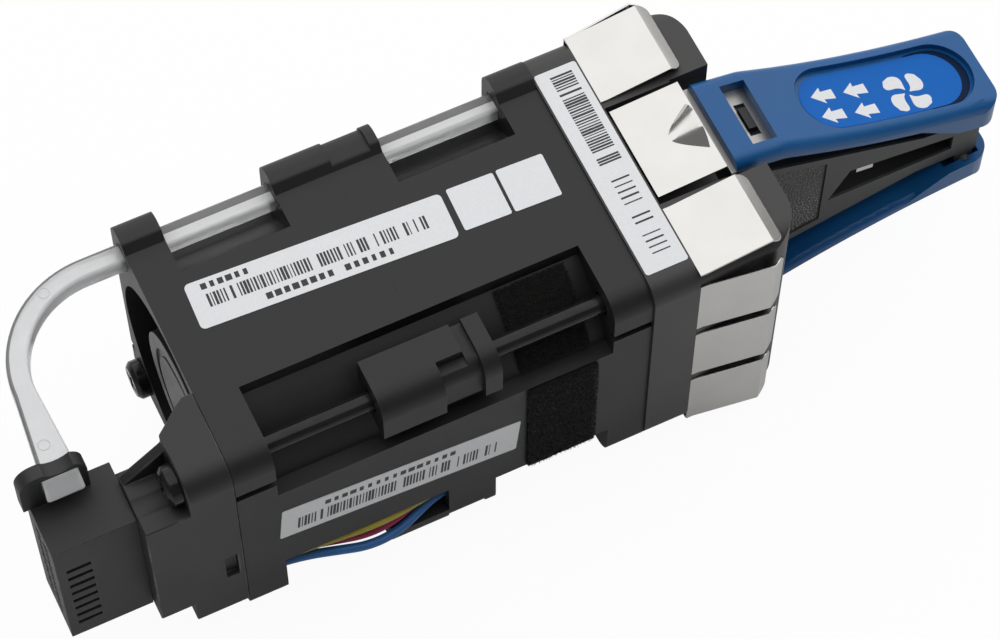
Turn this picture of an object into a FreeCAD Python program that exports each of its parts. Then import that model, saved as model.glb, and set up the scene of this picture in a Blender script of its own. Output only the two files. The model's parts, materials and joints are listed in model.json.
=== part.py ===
import FreeCAD, Part
import math
import os

# Hot-swap fan module: two 40 mm fan halves back to back, a blind-mate connector bracket at the
# rear, a clear light pipe, and a front bezel with a wedge handle and two squeeze levers.
# Millimetres. +X runs from the connector to the handle along the fan axis, +Z is up, and x = 0 is
# the outer face of the rear flange. The frames repeat after half a turn about the fan axis.

V = FreeCAD.Vector

# Driving dimensions: fan frames
fan_side = 40.0
half_length = 29.5
flange_depth = 5.6
duct_radius = 18.8
duct_wall = 1.1
screw_corner_flat = 9.0
channel_step = 9.6
rear_channel_floor = 11.0
front_channel_floor = 13.4
flange_corner_radius = 3.5
hump_rise = 1.2
hump_foot = 14.6
hump_round = 3.0
hump_edge = 0.8
hump_length = 8.4
collar_depth = 1.4
collar_rise = 0.5
groove_height = 1.4
groove_depth = 1.2
groove_level = 12.0
screw_block_reach = 7.8
screw_block_length = 8.9
clip_length = 7.9
clip_plate_depth = 2.4
clip_inset = 1.0
tongue_length = 3.8
tongue_depth = 1.5

# Driving dimensions: long screws
screw_offset = 16.0
screw_radius = 1.35
screw_clearance = 0.25
screw_head_radius = 2.8
screw_head_height = 2.0
screw_head_edge = 0.6
screw_bite = 4.0
recess_width = 0.8
recess_reach = 1.7
recess_depth = 1.0

# Driving dimensions: motors, measured from the seam between the halves
base_gap = 0.2
base_radius = 11.5
base_thickness = 2.5
strut_count = 4
strut_width = 2.2
strut_depth = 3.4
strut_bite = 0.6
bearing_radius = 3.0
bearing_width = 2.3
bearing_fit = 0.03
tube_wall = 0.7
tube_length = 13.4
tube_floor = 0.7
shaft_radius = 1.0
shaft_fit = 0.03
shaft_end_play = 0.4
clip_ring_radius = 2.1
clip_ring_thickness = 0.4
board_thickness = 1.0
board_radius = 10.8
seat_fit = 0.05
stator_start = 5.4
stator_length = 6.0
stator_yoke = 1.3
pole_count = 4
pole_width = 2.2
shoe_radius = 8.4
shoe_thickness = 1.0
shoe_gap = 2.0
coil_reach = 1.0
coil_width = 5.2
air_gap = 0.8
magnet_thickness = 1.1
magnet_length = 7.4
yoke_thickness = 0.8
yoke_length = 9.2
hub_wall = 0.9
hub_start = 4.6
front_hub_end = 26.5
rear_hub_end = 29.0
hub_cap = 1.4
hub_ring_inset = 2.4
hub_ring_width = 1.2
hub_ring_depth = 0.4
boss_radius = 3.2
running_gap = 0.6
tip_gap = 0.5

# Driving dimensions: blades
rear_blades = 5
front_blades = 7
blade_start = 8.0
blade_length = 16.5
blade_root_thickness = 1.1
blade_tip_thickness = 0.7
blade_root_sweep = 3.4
blade_tip_sweep = 5.2
blade_camber = 1.3

# Driving dimensions: light pipe
pipe_width = 3.0
pipe_inset = 1.9
pipe_fit = 0.12
pipe_bend_radius = 12.1
pipe_bend_lead = 5.3
pipe_end_width = 5.2
pipe_end_shift = 0.4
pipe_end_y = -11.4
pipe_end_lip = 0.6
pipe_edge = 0.35
pipe_front_gap = 0.4

# Driving dimensions: connector bracket and connector
bracket_depth = 12.4
bracket_corner_depth = 6.2
bracket_top_edge = 11.6
bracket_shelf = 13.4
bracket_bottom = 12.8
bracket_heel = 17.8
bracket_heel_depth = 7.6
bracket_wall = 1.6
gusset_reach = 4.5
gusset_thickness = 1.6
rib_thickness = 1.5
rib_drop = 1.75
notch_start = 0.9
notch_width = 1.8
notch_height = 6.0
notch_level = -9.0
notch_depth = 1.0
housing_length = 11.6
housing_width = 9.2
housing_height = 25.5
housing_level = -0.55
housing_near = 17.0
housing_tongue = 2.4
housing_tongue_inset = 1.3
contact_rows = 8
contact_columns = 2
contact_pitch = 2.54
cavity_side = 1.7
cavity_depth = 8.0
contact_side = 0.8
contact_length = 11.5
slot_length = 3.4
slot_height = 0.8
slot_depth = 1.2
slot_inset = 1.3
slot_pitch = 2.25
slot_level = -1.9
loop_width = 9.2
loop_overhang = 0.9
loop_thickness = 2.0
loop_wall = 1.5
loop_round = 2.6
loop_dip = 0.9
loop_dip_radius = 3.1
loop_dip_place = 5.7

# Driving dimensions: leads and felt pads
lead_radius = 0.65
lead_pitch = 1.4
lead_y = -17.2
lead_z = -14.4
lead_room = 0.25
lead_lead = 0.8
lead_trim = 0.45
lead_bow_x = 19.5
lead_bows = {
    "yellow": (0, 1, -2.2, 2.0),
    "red": (1, 0, -3.7, 0.8),
    "blue": (0, 0, -3.3, -1.1),
    "black": (1, 1, -1.9, 0.6),
}
pad_thickness = 0.5
pad_start = 11.6
pad_length = 9.9
pad_edge = 0.4
pad_top_start = 28.0
pad_top_end = 61.0

# Driving dimensions: bezel and grille
bezel_side = 40.8
bezel_corner = 3.2
band_length = 6.6
nose_length = 15.6
nose_step = 0.4
ear_round = 6.0
mouth_width = 33.0
mouth_height = 29.0
latch_channel_width = 16.2
latch_channel_depth = 3.2
ear_gap_width = 16.8
ear_gap_start = 9.8
grille_thickness = 0.8
grille_ledge = 1.2
grille_rim = 1.6
grille_hole = 3.6
grille_bar = 0.9

# Driving dimensions: shielding fingers and latches
sheet = 0.3
finger_length = 10.4
finger_flare = 1.3
finger_seat = 1.0
finger_tip = 1.7
finger_tip_drop = 1.1
finger_gap = 1.8
side_finger_count = 3
side_strip_low = 20.0
side_strip_high = 17.4
finger_corner = 1.2
latch_width = 14.4
latch_clearance = 0.35
latch_flare = 0.65
nose_start = 5.5
nose_end = 9.7
nose_half_width = 3.8
nose_height = 2.5

# Driving dimensions: handle core and squeeze levers
handle_reach = 54.2
nose_drop = 3.1
core_half_width = 5.4
core_foot = 3.5
core_foot_gap = 0.4
core_shoulder = 12.4
core_waist = 4.4
core_waist_x = 43.0
core_tip_half = 3.9
lever_tip_length = 7.0
core_tip_inset = 1.9
window_start = 28.6
window_length = 19.5
window_height = 6.0
window_nose = 1.6
window_slant = 3.0
spring_bar_inset = 1.0
spring_bar_length = 2.6
spring_bar_height = 0.9
texture_patch_depth = 0.3
texture_patch_margin = 1.5
texture_patch_gap = 1.0
lever_start = 12.0
lever_half_width = 7.1
lever_height = 20.2
lever_knee_x = 19.4
lever_knee_height = 19.2
lever_sag_x = 36.0
lever_sag_height = 13.2
lever_tip_height = 9.2
lever_depth = 3.0
lever_tip_depth = 5.0
lever_tip_run = 18.0
lever_tip_rise = 11.7
lever_plate = 2.0
lever_skirt = 1.3
lever_tip_wall = 1.5
lever_base_hollow = 11.0
lever_knee_round = 6.0
lever_rim_round = 1.6
lever_inner_round = 0.9
lever_tip_round = 3.0
pivot_inset = 3.7
pivot_height = 5.7
pivot_lug_radius = 1.4
pivot_stud_radius = 0.9
pivot_stud_length = 0.9
pivot_clearance = 0.1
pocket_start = 25.2
pocket_length = 27.4
pocket_half_width = 5.2
pocket_depth = 1.0
lever_window_start = 3.5
lever_window_length = 3.7
lever_window_half_width = 4.9
tab_length = 9.0
tab_thickness = 0.5
tab_lip = 0.7
tab_slot_length = 5.2
tab_slot_width = 1.6
catch_length = 3.4
catch_fit = 0.2
catch_rib_width = 2.4
catch_rib_depth = 1.0

# Places worked out from the driving dimensions
side = fan_side / 2
seam = half_length
fan_length = 2 * half_length
screw_hole_radius = screw_radius + screw_clearance
bezel_half = bezel_side / 2
nose_half = bezel_half - nose_step
band_end = fan_length + band_length
nose_front = band_end + nose_length
handle_tip = band_end + handle_reach
barrel_radius = duct_radius + duct_wall
pipe_outer = side - pipe_inset
pipe_inner = pipe_outer - pipe_width
pipe_outer_bend = pipe_bend_radius + pipe_width
lead_half = lead_pitch / 2 + lead_radius + lead_room
lowest_bow = min(bow_z for column, row, bow_y, bow_z in lead_bows.values())
lead_tray_level = lead_z + lowest_bow - lead_half
past = 1.0
tiny = 1e-6
reach_across = 2 * bezel_side


def along_x(points, x0, x1):
    """Prism of a (y, z) outline between two x planes."""
    corners = [V(x0, y, z) for y, z in points]
    return Part.Face(Part.makePolygon(corners + corners[:1])).extrude(V(x1 - x0, 0, 0))


def along_y(points, y0, y1):
    """Prism of an (x, z) outline between two y planes."""
    corners = [V(x, y0, z) for x, z in points]
    return Part.Face(Part.makePolygon(corners + corners[:1])).extrude(V(0, y1 - y0, 0))


def along_z(points, z0, z1):
    """Prism of an (x, y) outline between two z planes."""
    corners = [V(x, y, z0) for x, y in points]
    return Part.Face(Part.makePolygon(corners + corners[:1])).extrude(V(0, 0, z1 - z0))


def block(x0, x1, y0, y1, z0, z1):
    return Part.makeBox(x1 - x0, y1 - y0, z1 - z0, V(x0, y0, z0))


def square_bar(x0, x1, y, z, half):
    """Square bar along X about a centre line."""
    return block(x0, x1, y - half, y + half, z - half, z + half)


def slab(x0, x1):
    """Everything between two x planes, to keep one stretch of a piece."""
    return square_bar(x0, x1, 0, 0, reach_across)


def rod(radius, x0, x1, y=0.0, z=0.0):
    """Round bar along X."""
    return Part.makeCylinder(radius, x1 - x0, V(x0, y, z), V(1, 0, 0))


def ring(inner, outer, x0, x1):
    """Round sleeve about the fan axis."""
    return rod(outer, x0, x1).cut(rod(inner, x0 - past, x1 + past))


def cross_rod(radius, y0, y1, x, z):
    """Round bar along Y."""
    return Part.makeCylinder(radius, y1 - y0, V(x, y0, z), V(0, 1, 0))


def turned(shape, angle):
    """Copy turned about the fan axis."""
    copy = shape.copy()
    copy.rotate(V(0, 0, 0), V(1, 0, 0), angle)
    return copy


def half_turn(shape):
    return turned(shape, 180)


def rear_copy(shape):
    """Mirror image in the seam plane, for what both halves share."""
    return shape.mirror(V(seam, 0, 0), V(1, 0, 0))


def fuse(shapes):
    first = shapes[0]
    return first.multiFuse(shapes[1:]).removeSplitter()


def rounded(shape, radius, wanted):
    """Fillet the edges that satisfy the test."""
    edges = [edge for edge in shape.Edges if wanted(edge)]
    return shape.makeFillet(radius, edges)


def is_along(edge, axis):
    """True for a straight edge that runs along one axis."""
    if len(edge.Vertexes) != 2 or not isinstance(edge.Curve, (Part.Line, Part.LineSegment)):
        return False
    step = edge.Vertexes[1].Point - edge.Vertexes[0].Point
    others = [abs(step[i]) for i in range(3) if i != axis]
    return max(others) < tiny


def save(name, shape):
    shape.exportStep("parts/" + name + ".step")


os.makedirs("parts", exist_ok=True)

# Fan frames: moulded barrels with a square flange, raised channel humps on two opposite corners
# and screw corners on the other two


def half_symmetric(points):
    """Close an outline with its own copy turned half way round."""
    return points + [(-y, -z) for y, z in points]


def round_hump(solid, top):
    """Round the outer corner of a hump and ease the top of its slope, on each side that has one."""
    def hump_corner(edge):
        middle = edge.CenterOfMass
        return is_along(edge, 0) and abs(abs(middle.y) - side) < tiny and abs(abs(middle.z) - top) < tiny

    def slope_top(edge):
        middle = edge.CenterOfMass
        at_slope = abs(abs(middle.y) - hump_foot - top + side) < tiny
        return is_along(edge, 0) and at_slope and abs(abs(middle.z) - top) < tiny
    return rounded(rounded(solid, hump_round, hump_corner), hump_edge, slope_top)


def flange(x0, x1):
    outline = half_symmetric([
        (-side, side),
        (hump_foot, side),
        (hump_foot + hump_rise, side + hump_rise),
        (side, side + hump_rise),
    ])
    solid = along_x(outline, x0, x1)

    def plain_corner(edge):
        middle = edge.CenterOfMass
        return is_along(edge, 0) and abs(middle.y + middle.z) < tiny
    return round_hump(rounded(solid, flange_corner_radius, plain_corner), side + hump_rise)


def barrel(x0, x1, floor):
    """Round duct wall with flat sides between the channel and screw corners."""
    outline = half_symmetric([
        (-side, screw_corner_flat),
        (-screw_corner_flat, screw_corner_flat),
        (-screw_corner_flat, side),
        (channel_step, side),
        (channel_step, floor),
        (side, floor),
    ])
    return along_x(outline, x0, x1).fuse(rod(barrel_radius, x0, x1))


def channel_hump(x0, x1, rise, floor):
    """Boss over the channel corner, with a sloped inner side and a rounded outer one."""
    top = side + rise
    inside = channel_step - rise / 2
    solid = along_x([
        (inside, floor),
        (inside, side),
        (hump_foot, side),
        (hump_foot + rise, top),
        (side, top),
        (side, floor),
    ], x0, x1)
    return round_hump(solid, top)


def screw_block(x0, x1, inset):
    """Block on the screw corner, rounded outside and let into the duct wall."""
    outer = side - inset
    near = side - screw_block_reach
    solid = block(x0, x1, -outer, -near, near, outer)

    def outer_corner(edge):
        middle = edge.CenterOfMass
        at_corner = abs(middle.y + outer) < tiny and abs(middle.z - outer) < tiny
        return is_along(edge, 0) and at_corner
    return rounded(solid, flange_corner_radius - inset, outer_corner)


pipe_hole = block(
    -past, fan_length + past,
    pipe_inner - pipe_fit, pipe_outer + pipe_fit,
    pipe_inner - pipe_fit, pipe_outer + pipe_fit,
)
screw_hole = rod(screw_hole_radius, -past, fan_length + past, -screw_offset, screw_offset)
lead_hole = square_bar(-past, fan_length - flange_depth, lead_y, lead_z, lead_half)
corner_cuts = [pipe_hole, lead_hole, screw_hole, half_turn(screw_hole)]
bearing_tube_radius = bearing_radius + tube_wall


def motor_mount():
    """Base disc, struts and bearing tube of the front half, at the seam."""
    start = seam + base_gap
    disc = rod(base_radius, start, start + base_thickness)
    wall_middle = (duct_radius + side) / 2
    strut_root = base_radius - strut_bite
    strut = block(
        start, start + strut_depth,
        -strut_width / 2, strut_width / 2,
        strut_root, wall_middle,
    )
    struts = [turned(strut, 360 / strut_count * i) for i in range(strut_count)]
    tube = rod(bearing_tube_radius, start, start + tube_length)
    bore = rod(bearing_radius, start + tube_floor, start + tube_length + past)
    return fuse([disc, tube] + struts).cut(bore)


def flange_groove(x0, x1):
    groove = block(
        x0, x1,
        -side - past, -side + groove_depth,
        groove_level, groove_level + groove_height,
    )
    return [groove, half_turn(groove)]


def fan_frame(walls, grooves, mount):
    shell = fuse(walls)
    shell = shell.cut(rod(duct_radius, -past, fan_length + past))
    for cut in corner_cuts + grooves:
        shell = shell.cut(cut)
    return fuse([shell, mount])


front_mount = motor_mount()
tongue_level = side - tongue_depth
tongue = block(
    seam, seam + tongue_length,
    -side + flange_corner_radius, -side + screw_block_reach,
    tongue_level, side,
)
tongue_room = block(
    seam, seam + tongue_length + pipe_fit,
    -side, -side + screw_block_reach + past,
    tongue_level, side + past,
)
rear_corner = screw_block(seam - screw_block_length, seam, 0.0).fuse(tongue)
rear_hump = channel_hump(seam - hump_length, seam, hump_rise, rear_channel_floor)
lead_notch = block(
    seam - hump_length, seam,
    -side, lead_y,
    lead_tray_level, -rear_channel_floor,
)
lead_tray = half_turn(rear_hump).cut(lead_notch)
rear_frame = fan_frame(
    [barrel(0, seam, rear_channel_floor), flange(0, flange_depth),
     rear_hump, lead_tray, rear_corner, half_turn(rear_corner)],
    flange_groove(-past, flange_depth),
    rear_copy(front_mount),
)

clip_end = seam + clip_length
front_corner = screw_block(seam, clip_end, clip_inset).cut(tongue_room)
front_corner = front_corner.fuse(screw_block(clip_end - clip_plate_depth, clip_end, 0.0))
hump_front_end = seam + hump_length - collar_depth
front_hump = channel_hump(seam, hump_front_end, hump_rise - collar_rise, front_channel_floor)
collar_start = hump_front_end - collar_depth
front_hump = front_hump.fuse(channel_hump(collar_start, hump_front_end, hump_rise, front_channel_floor))
front_flange_start = fan_length - flange_depth
front_frame = fan_frame(
    [barrel(seam, fan_length, front_channel_floor), flange(front_flange_start, fan_length),
     front_hump, half_turn(front_hump), front_corner, half_turn(front_corner)],
    flange_groove(front_flange_start, fan_length + past),
    front_mount,
)
save("rear_fan_frame", rear_frame)
save("front_fan_frame", front_frame)

# Motors: the same bearings, board, stator and coils in both halves, mirrored at the seam
tube_start = seam + base_gap
base_top = tube_start + base_thickness
shaft_start = tube_start + tube_floor + shaft_end_play
clip_start = shaft_start + shaft_end_play
first_bearing = clip_start + clip_ring_thickness + shaft_end_play
last_bearing = tube_start + tube_length - bearing_width
bearing = ring(shaft_radius + shaft_fit, bearing_radius - bearing_fit, 0, bearing_width)
bearings = Part.makeCompound([
    bearing.translated(V(first_bearing, 0, 0)),
    bearing.translated(V(last_bearing, 0, 0)),
])
board = ring(bearing_tube_radius + seat_fit, board_radius, base_top, base_top + board_thickness)

stator_x = seam + stator_start
stator_end = stator_x + stator_length
stator_inner = bearing_tube_radius + seat_fit
pole_root = stator_inner + stator_yoke
shoe_inner = shoe_radius - shoe_thickness


def pole_copies(shape):
    return [turned(shape, 360 / pole_count * i) for i in range(pole_count)]


def stator_core():
    arm = block(
        stator_x, stator_end,
        -pole_width / 2, pole_width / 2,
        pole_root - stator_yoke / 2, shoe_radius - shoe_thickness / 2,
    )
    shoes = ring(shoe_inner, shoe_radius, stator_x, stator_end)
    slot = block(
        stator_x - past, stator_end + past,
        -shoe_gap / 2, shoe_gap / 2,
        pole_root, shoe_radius + past,
    )
    for cut in pole_copies(turned(slot, 180 / pole_count)):
        shoes = shoes.cut(cut)
    return fuse([ring(stator_inner, pole_root, stator_x, stator_end), shoes] + pole_copies(arm))


def stator_coils():
    coil_top = math.sqrt(shoe_inner ** 2 - (coil_width / 2) ** 2)
    outside = block(
        stator_x - coil_reach, stator_end + coil_reach,
        -coil_width / 2, coil_width / 2,
        pole_root + seat_fit, coil_top - seat_fit,
    )
    around_arm = block(
        stator_x - seat_fit, stator_end + seat_fit,
        -pole_width / 2 - seat_fit, pole_width / 2 + seat_fit,
        0, shoe_radius,
    )
    return Part.makeCompound(pole_copies(outside.cut(around_arm)))


core = stator_core()
coils = stator_coils()
shared_motor = {"bearings": bearings, "motor_board": board, "stator_core": core, "stator_coils": coils}
for name, shape in shared_motor.items():
    save("front_" + name, shape)
    save("rear_" + name, rear_copy(shape))

# Rotors: hub with blades, steel yoke, ring magnet, shaft and its retaining clip
magnet_inner = shoe_radius + air_gap
magnet_outer = magnet_inner + magnet_thickness
yoke_inner = magnet_outer + seat_fit
yoke_outer = yoke_inner + yoke_thickness
hub_inner = yoke_outer + seat_fit
hub_radius = hub_inner + hub_wall
blade_tip_radius = duct_radius - tip_gap


def blade_section(radius, sweep, thickness, hand):
    """Thin cambered section across the blade, in the plane at this distance from the axis."""
    start = seam + blade_start
    end = start + blade_length
    middle = (start + end) / 2
    half = thickness / 2
    low = [
        V(start, -hand * sweep - half, radius),
        V(middle, hand * blade_camber - half, radius),
        V(end, hand * sweep - half, radius),
    ]
    high = [p + V(0, thickness, 0) for p in low]
    lower = Part.Arc(*low).toShape()
    upper = Part.Arc(*high).toShape()
    lead = Part.LineSegment(low[0], high[0]).toShape()
    trail = Part.LineSegment(low[2], high[2]).toShape()
    return Part.Wire([lower, trail, upper, lead])


def impeller(count, hand, hub_end):
    start = seam + hub_start
    end = seam + hub_end
    root = hub_inner - hub_wall
    blade = Part.makeLoft([
        blade_section(root, blade_root_sweep, blade_root_thickness, hand),
        blade_section(duct_radius, blade_tip_sweep, blade_tip_thickness, hand),
    ], True, True)
    blade = blade.common(rod(blade_tip_radius, start, end))
    blades = [turned(blade, 360 / count * i) for i in range(count)]
    solid = fuse([rod(hub_radius, start, end)] + blades)
    solid = solid.cut(rod(hub_inner, start - past, end - hub_cap))
    boss = rod(boss_radius, tube_start + tube_length + running_gap, end - hub_cap / 2)
    solid = fuse([solid, boss])
    ring_outer = hub_radius - hub_ring_inset
    face_ring = ring(ring_outer - hub_ring_width, ring_outer, end - hub_ring_depth, end + past)
    solid = solid.cut(face_ring)
    return solid.cut(rod(shaft_radius + seat_fit, start, end - hub_cap / 2))


magnet_start = stator_x + (stator_length - magnet_length) / 2
magnet = ring(magnet_inner, magnet_outer, magnet_start, magnet_start + magnet_length)
yoke = ring(yoke_inner, yoke_outer, magnet_start, magnet_start + yoke_length)
front_shaft = rod(shaft_radius, shaft_start, seam + front_hub_end - hub_cap / 2)
rear_shaft = rod(shaft_radius, shaft_start, seam + rear_hub_end - hub_cap / 2)
retaining_clip = ring(shaft_radius + seat_fit, clip_ring_radius, clip_start, clip_start + clip_ring_thickness)
shared_rotor = {"rotor_yoke": yoke, "magnet": magnet, "retaining_clip": retaining_clip}
for name, shape in shared_rotor.items():
    save("front_" + name, shape)
    save("rear_" + name, rear_copy(shape))
save("front_shaft", front_shaft)
save("rear_shaft", rear_copy(rear_shaft))
save("front_impeller", impeller(front_blades, 1, front_hub_end))
save("rear_impeller", rear_copy(impeller(rear_blades, 1, rear_hub_end)))

# Bezel: square band and narrower nose, with a channel for each latch and two ears beside the handle


def rounded_square(half, corner, x0, x1):
    solid = block(x0, x1, -half, half, -half, half)
    return rounded(solid, corner, lambda edge: is_along(edge, 0))


def bezel():
    band = rounded_square(bezel_half, bezel_corner, fan_length, band_end)
    nose = rounded_square(nose_half, bezel_corner, band_end - past, nose_front)
    plan = block(band_end - past, nose_front, -nose_half, nose_half, -bezel_half, bezel_half)
    plan = rounded(plan, ear_round, lambda edge: is_along(edge, 2) and edge.CenterOfMass.x > band_end)
    solid = fuse([band, nose.common(plan)])
    mouth = block(
        fan_length - past, nose_front + past,
        -mouth_width / 2, mouth_width / 2,
        -mouth_height / 2, mouth_height / 2,
    )
    grille_room = block(
        fan_length - past, fan_length + grille_thickness,
        -mouth_width / 2 - grille_ledge, mouth_width / 2 + grille_ledge,
        -mouth_height / 2 - grille_ledge, mouth_height / 2 + grille_ledge,
    )
    channel = block(
        band_end, nose_front + past,
        -latch_channel_width / 2, latch_channel_width / 2,
        nose_half - latch_channel_depth, bezel_half + past,
    )
    ear_gap = block(
        band_end + ear_gap_start, nose_front + past,
        -ear_gap_width / 2, ear_gap_width / 2, -bezel_half - past, bezel_half + past,
    )
    pipe_way = block(
        fan_length - past, nose_front + past,
        pipe_inner - pipe_fit, pipe_outer + pipe_fit,
        pipe_inner - pipe_fit, pipe_outer + pipe_fit,
    )
    bite_end = fan_length + screw_bite + past
    bite = rod(screw_radius, fan_length - past, bite_end, -screw_offset, screw_offset)
    cuts = [mouth, grille_room, channel, half_turn(channel), ear_gap, pipe_way, bite, half_turn(bite)]
    for cut in cuts:
        solid = solid.cut(cut)
    return solid


def grille():
    """Punched sheet on the ledge behind the mouth."""
    width = mouth_width + 2 * (grille_ledge - seat_fit)
    height = mouth_height + 2 * (grille_ledge - seat_fit)
    front = fan_length + grille_thickness
    solid = block(fan_length, front, -width / 2, width / 2, -height / 2, height / 2)
    pitch = grille_hole + grille_bar
    columns = int((width - 2 * grille_rim + grille_bar) / pitch)
    rows = int((height - 2 * grille_rim + grille_bar) / pitch)
    holes = []
    for column in range(columns):
        y = (column - (columns - 1) / 2) * pitch
        for row in range(rows):
            z = (row - (rows - 1) / 2) * pitch
            holes.append(square_bar(fan_length - past, front + past, y, z, grille_hole / 2))
    corner = pipe_inner - pipe_fit - grille_bar
    corner_notch = block(fan_length - past, front + past, corner, bezel_half, corner, bezel_half)
    holes.extend(turned(corner_notch, 90 * i) for i in range(4))
    for hole in holes:
        solid = solid.cut(hole)
    return solid


save("bezel", bezel())
save("front_grille", grille())

# Shielding fingers: sprung nickel sheet round the bezel's nose, and the two latches among them
flare_end = band_end + finger_length
tip_end = flare_end + finger_tip


def finger_profile(start, base):
    """Side view of one finger: flat seat, outward flare and turned-down tip, as (x, height)."""
    seat_end = start + finger_seat
    crest = base + finger_flare
    return [
        (start, base), (seat_end, base), (flare_end, crest), (tip_end, crest - finger_tip_drop),
        (tip_end, crest - finger_tip_drop + sheet), (flare_end, crest + sheet),
        (seat_end, base + sheet), (start, base + sheet),
    ]


def finger(y0, y1):
    solid = along_y(finger_profile(band_end, nose_half), y0, y1)
    outline = block(band_end, tip_end, y0, y1, 0, reach_across)

    def tip_corner(edge):
        return is_along(edge, 2) and edge.CenterOfMass.x > band_end + past
    return solid.common(rounded(outline, finger_corner, tip_corner))


top_fingers = [
    finger(latch_width / 2 + finger_gap, nose_half),
    finger(-nose_half, -latch_width / 2 - finger_gap),
]
side_pitch = (side_strip_low + side_strip_high + finger_gap) / side_finger_count
side_fingers = []
for i in range(side_finger_count):
    low = -side_strip_low + i * side_pitch
    side_fingers.append(turned(finger(low, low + side_pitch - finger_gap), 90))
side_strip = Part.makeCompound(side_fingers)
top_strip = Part.makeCompound(top_fingers)
save("emi_fingers_top", top_strip)
save("emi_fingers_bottom", half_turn(top_strip))
save("emi_fingers_near", side_strip)
save("emi_fingers_far", half_turn(side_strip))


def latch():
    """Middle finger with a half-cone nose: a ramp towards the rear and a flat catch face in front."""
    start = band_end + latch_clearance
    crest = nose_half + latch_flare
    strip = along_y([
        (start, nose_half), (flare_end, crest), (flare_end, crest + sheet), (start, nose_half + sheet),
    ], -latch_width / 2, latch_width / 2)
    nose_middle = (nose_start + nose_end) / 2
    base = nose_half + sheet / 2 + latch_flare * nose_middle / finger_length
    radius = (nose_half_width ** 2 + nose_height ** 2) / (2 * nose_height)
    tip_radius = radius - nose_height
    cone_start = V(band_end + nose_start, 0, base - tip_radius)
    cone = Part.makeCone(tip_radius, radius, nose_end - nose_start, cone_start, V(1, 0, 0))
    under = block(band_end, tip_end, -latch_width, latch_width, 0, base)
    return fuse([strip, cone.cut(under)])


latch_top = latch()
save("latch_top", latch_top)
save("latch_bottom", half_turn(latch_top))

# Handle: wedge core in the bezel's mouth and two levers that pivot at its nose. The wedge hangs
# a little below the fan axis towards its nose, so heights are taken from a leaning centre line.


def handle_point(along, height):
    """(x, z) of a point on the handle, from the band's end and the leaning centre line."""
    lean = max(0.0, along - lever_start) / (handle_reach - lever_start)
    return band_end + along, height - nose_drop * lean


def handle_outline(points):
    return [handle_point(along, height) for along, height in points]


lever_tip_start = handle_reach - lever_tip_length
core_tip = handle_reach - core_tip_inset
foot_half = mouth_height / 2
foot_start = core_foot_gap
foot_end = foot_start + core_foot
pivot_along = handle_reach - pivot_inset
window_lead = window_start + window_slant
window_end = window_start + window_length


def core_edge(along):
    """Height of the wedge's sloping edge, between the shoulder and the waist."""
    slope_start = lever_start + core_foot
    fall = (core_shoulder - core_waist) / (core_waist_x - slope_start)
    return core_shoulder - fall * (along - slope_start)


def core_solid():
    upper = [
        (foot_start, foot_half), (foot_end, foot_half), (foot_end + core_foot / 2, core_shoulder),
        (lever_start + core_foot, core_shoulder), (core_waist_x, core_waist),
        (core_tip, core_tip_half),
    ]
    lower = [(along, -height) for along, height in reversed(upper)]
    wedge = along_y(handle_outline(upper + lower), -core_half_width, core_half_width)
    window = along_y(handle_outline([
        (window_lead, window_height / 2), (window_end, window_nose),
        (window_end, -window_nose), (window_start, -window_height / 2),
    ]), -core_half_width - past, core_half_width + past)
    wedge = wedge.cut(window)
    patch_start = lever_start + core_foot
    patch_end = window_start - texture_patch_gap
    start_half = core_edge(patch_start) - texture_patch_margin
    end_half = core_edge(patch_end) - texture_patch_margin
    patch = handle_outline([
        (patch_start, start_half), (patch_end, end_half), (patch_end, -end_half), (patch_start, -start_half),
    ])
    for face in (-core_half_width, core_half_width):
        wedge = wedge.cut(along_y(patch, face - texture_patch_depth, face + texture_patch_depth))
    pieces = [wedge]
    for sign in (1, -1):
        x, z = handle_point(pivot_along, sign * pivot_height)
        pieces.append(cross_rod(pivot_lug_radius, -core_half_width, core_half_width, x, z))
        lug_start = pivot_along - pivot_lug_radius
        lug_end = pivot_along + pivot_lug_radius
        top = sign * pivot_height
        lug = handle_outline([(lug_start, 0), (lug_end, 0), (lug_end, top), (lug_start, top)])
        pieces.append(along_y(lug, -core_half_width, core_half_width))
        reach = core_half_width + pivot_stud_length
        pieces.append(cross_rod(pivot_stud_radius, -reach, reach, x, z))
    return fuse(pieces)


save("handle_core", core_solid())


def window_top(along):
    """Height of the window's upper edge, which slopes towards the nose."""
    fall = (window_height / 2 - window_nose) / (window_end - window_lead)
    return window_height / 2 - fall * (along - window_lead)


bar_start = window_lead + spring_bar_inset
bar_end = bar_start + spring_bar_length
bar_top = [(bar_start, window_top(bar_start)), (bar_end, window_top(bar_end))]
bar_under = [(along, height - spring_bar_height) for along, height in reversed(bar_top)]
save("spring_bar", along_y(handle_outline(bar_top + bar_under), -core_half_width, core_half_width))


lever_inside = lever_half_width - lever_skirt
lever_window_x = band_end + lever_start + lever_window_start
catch_x = lever_window_x + lever_window_length / 2


def lever_face(sign, inward):
    """Corners of a lever's outer side line, moved inward by a given amount."""
    corners = handle_outline([
        (lever_start, sign * (lever_height - inward)), (lever_knee_x, sign * (lever_knee_height - inward)),
        (lever_sag_x, sign * (lever_sag_height - inward)), (handle_reach, sign * (lever_tip_height - inward)),
    ])
    return [V(x, 0, z) for x, z in corners]


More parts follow.
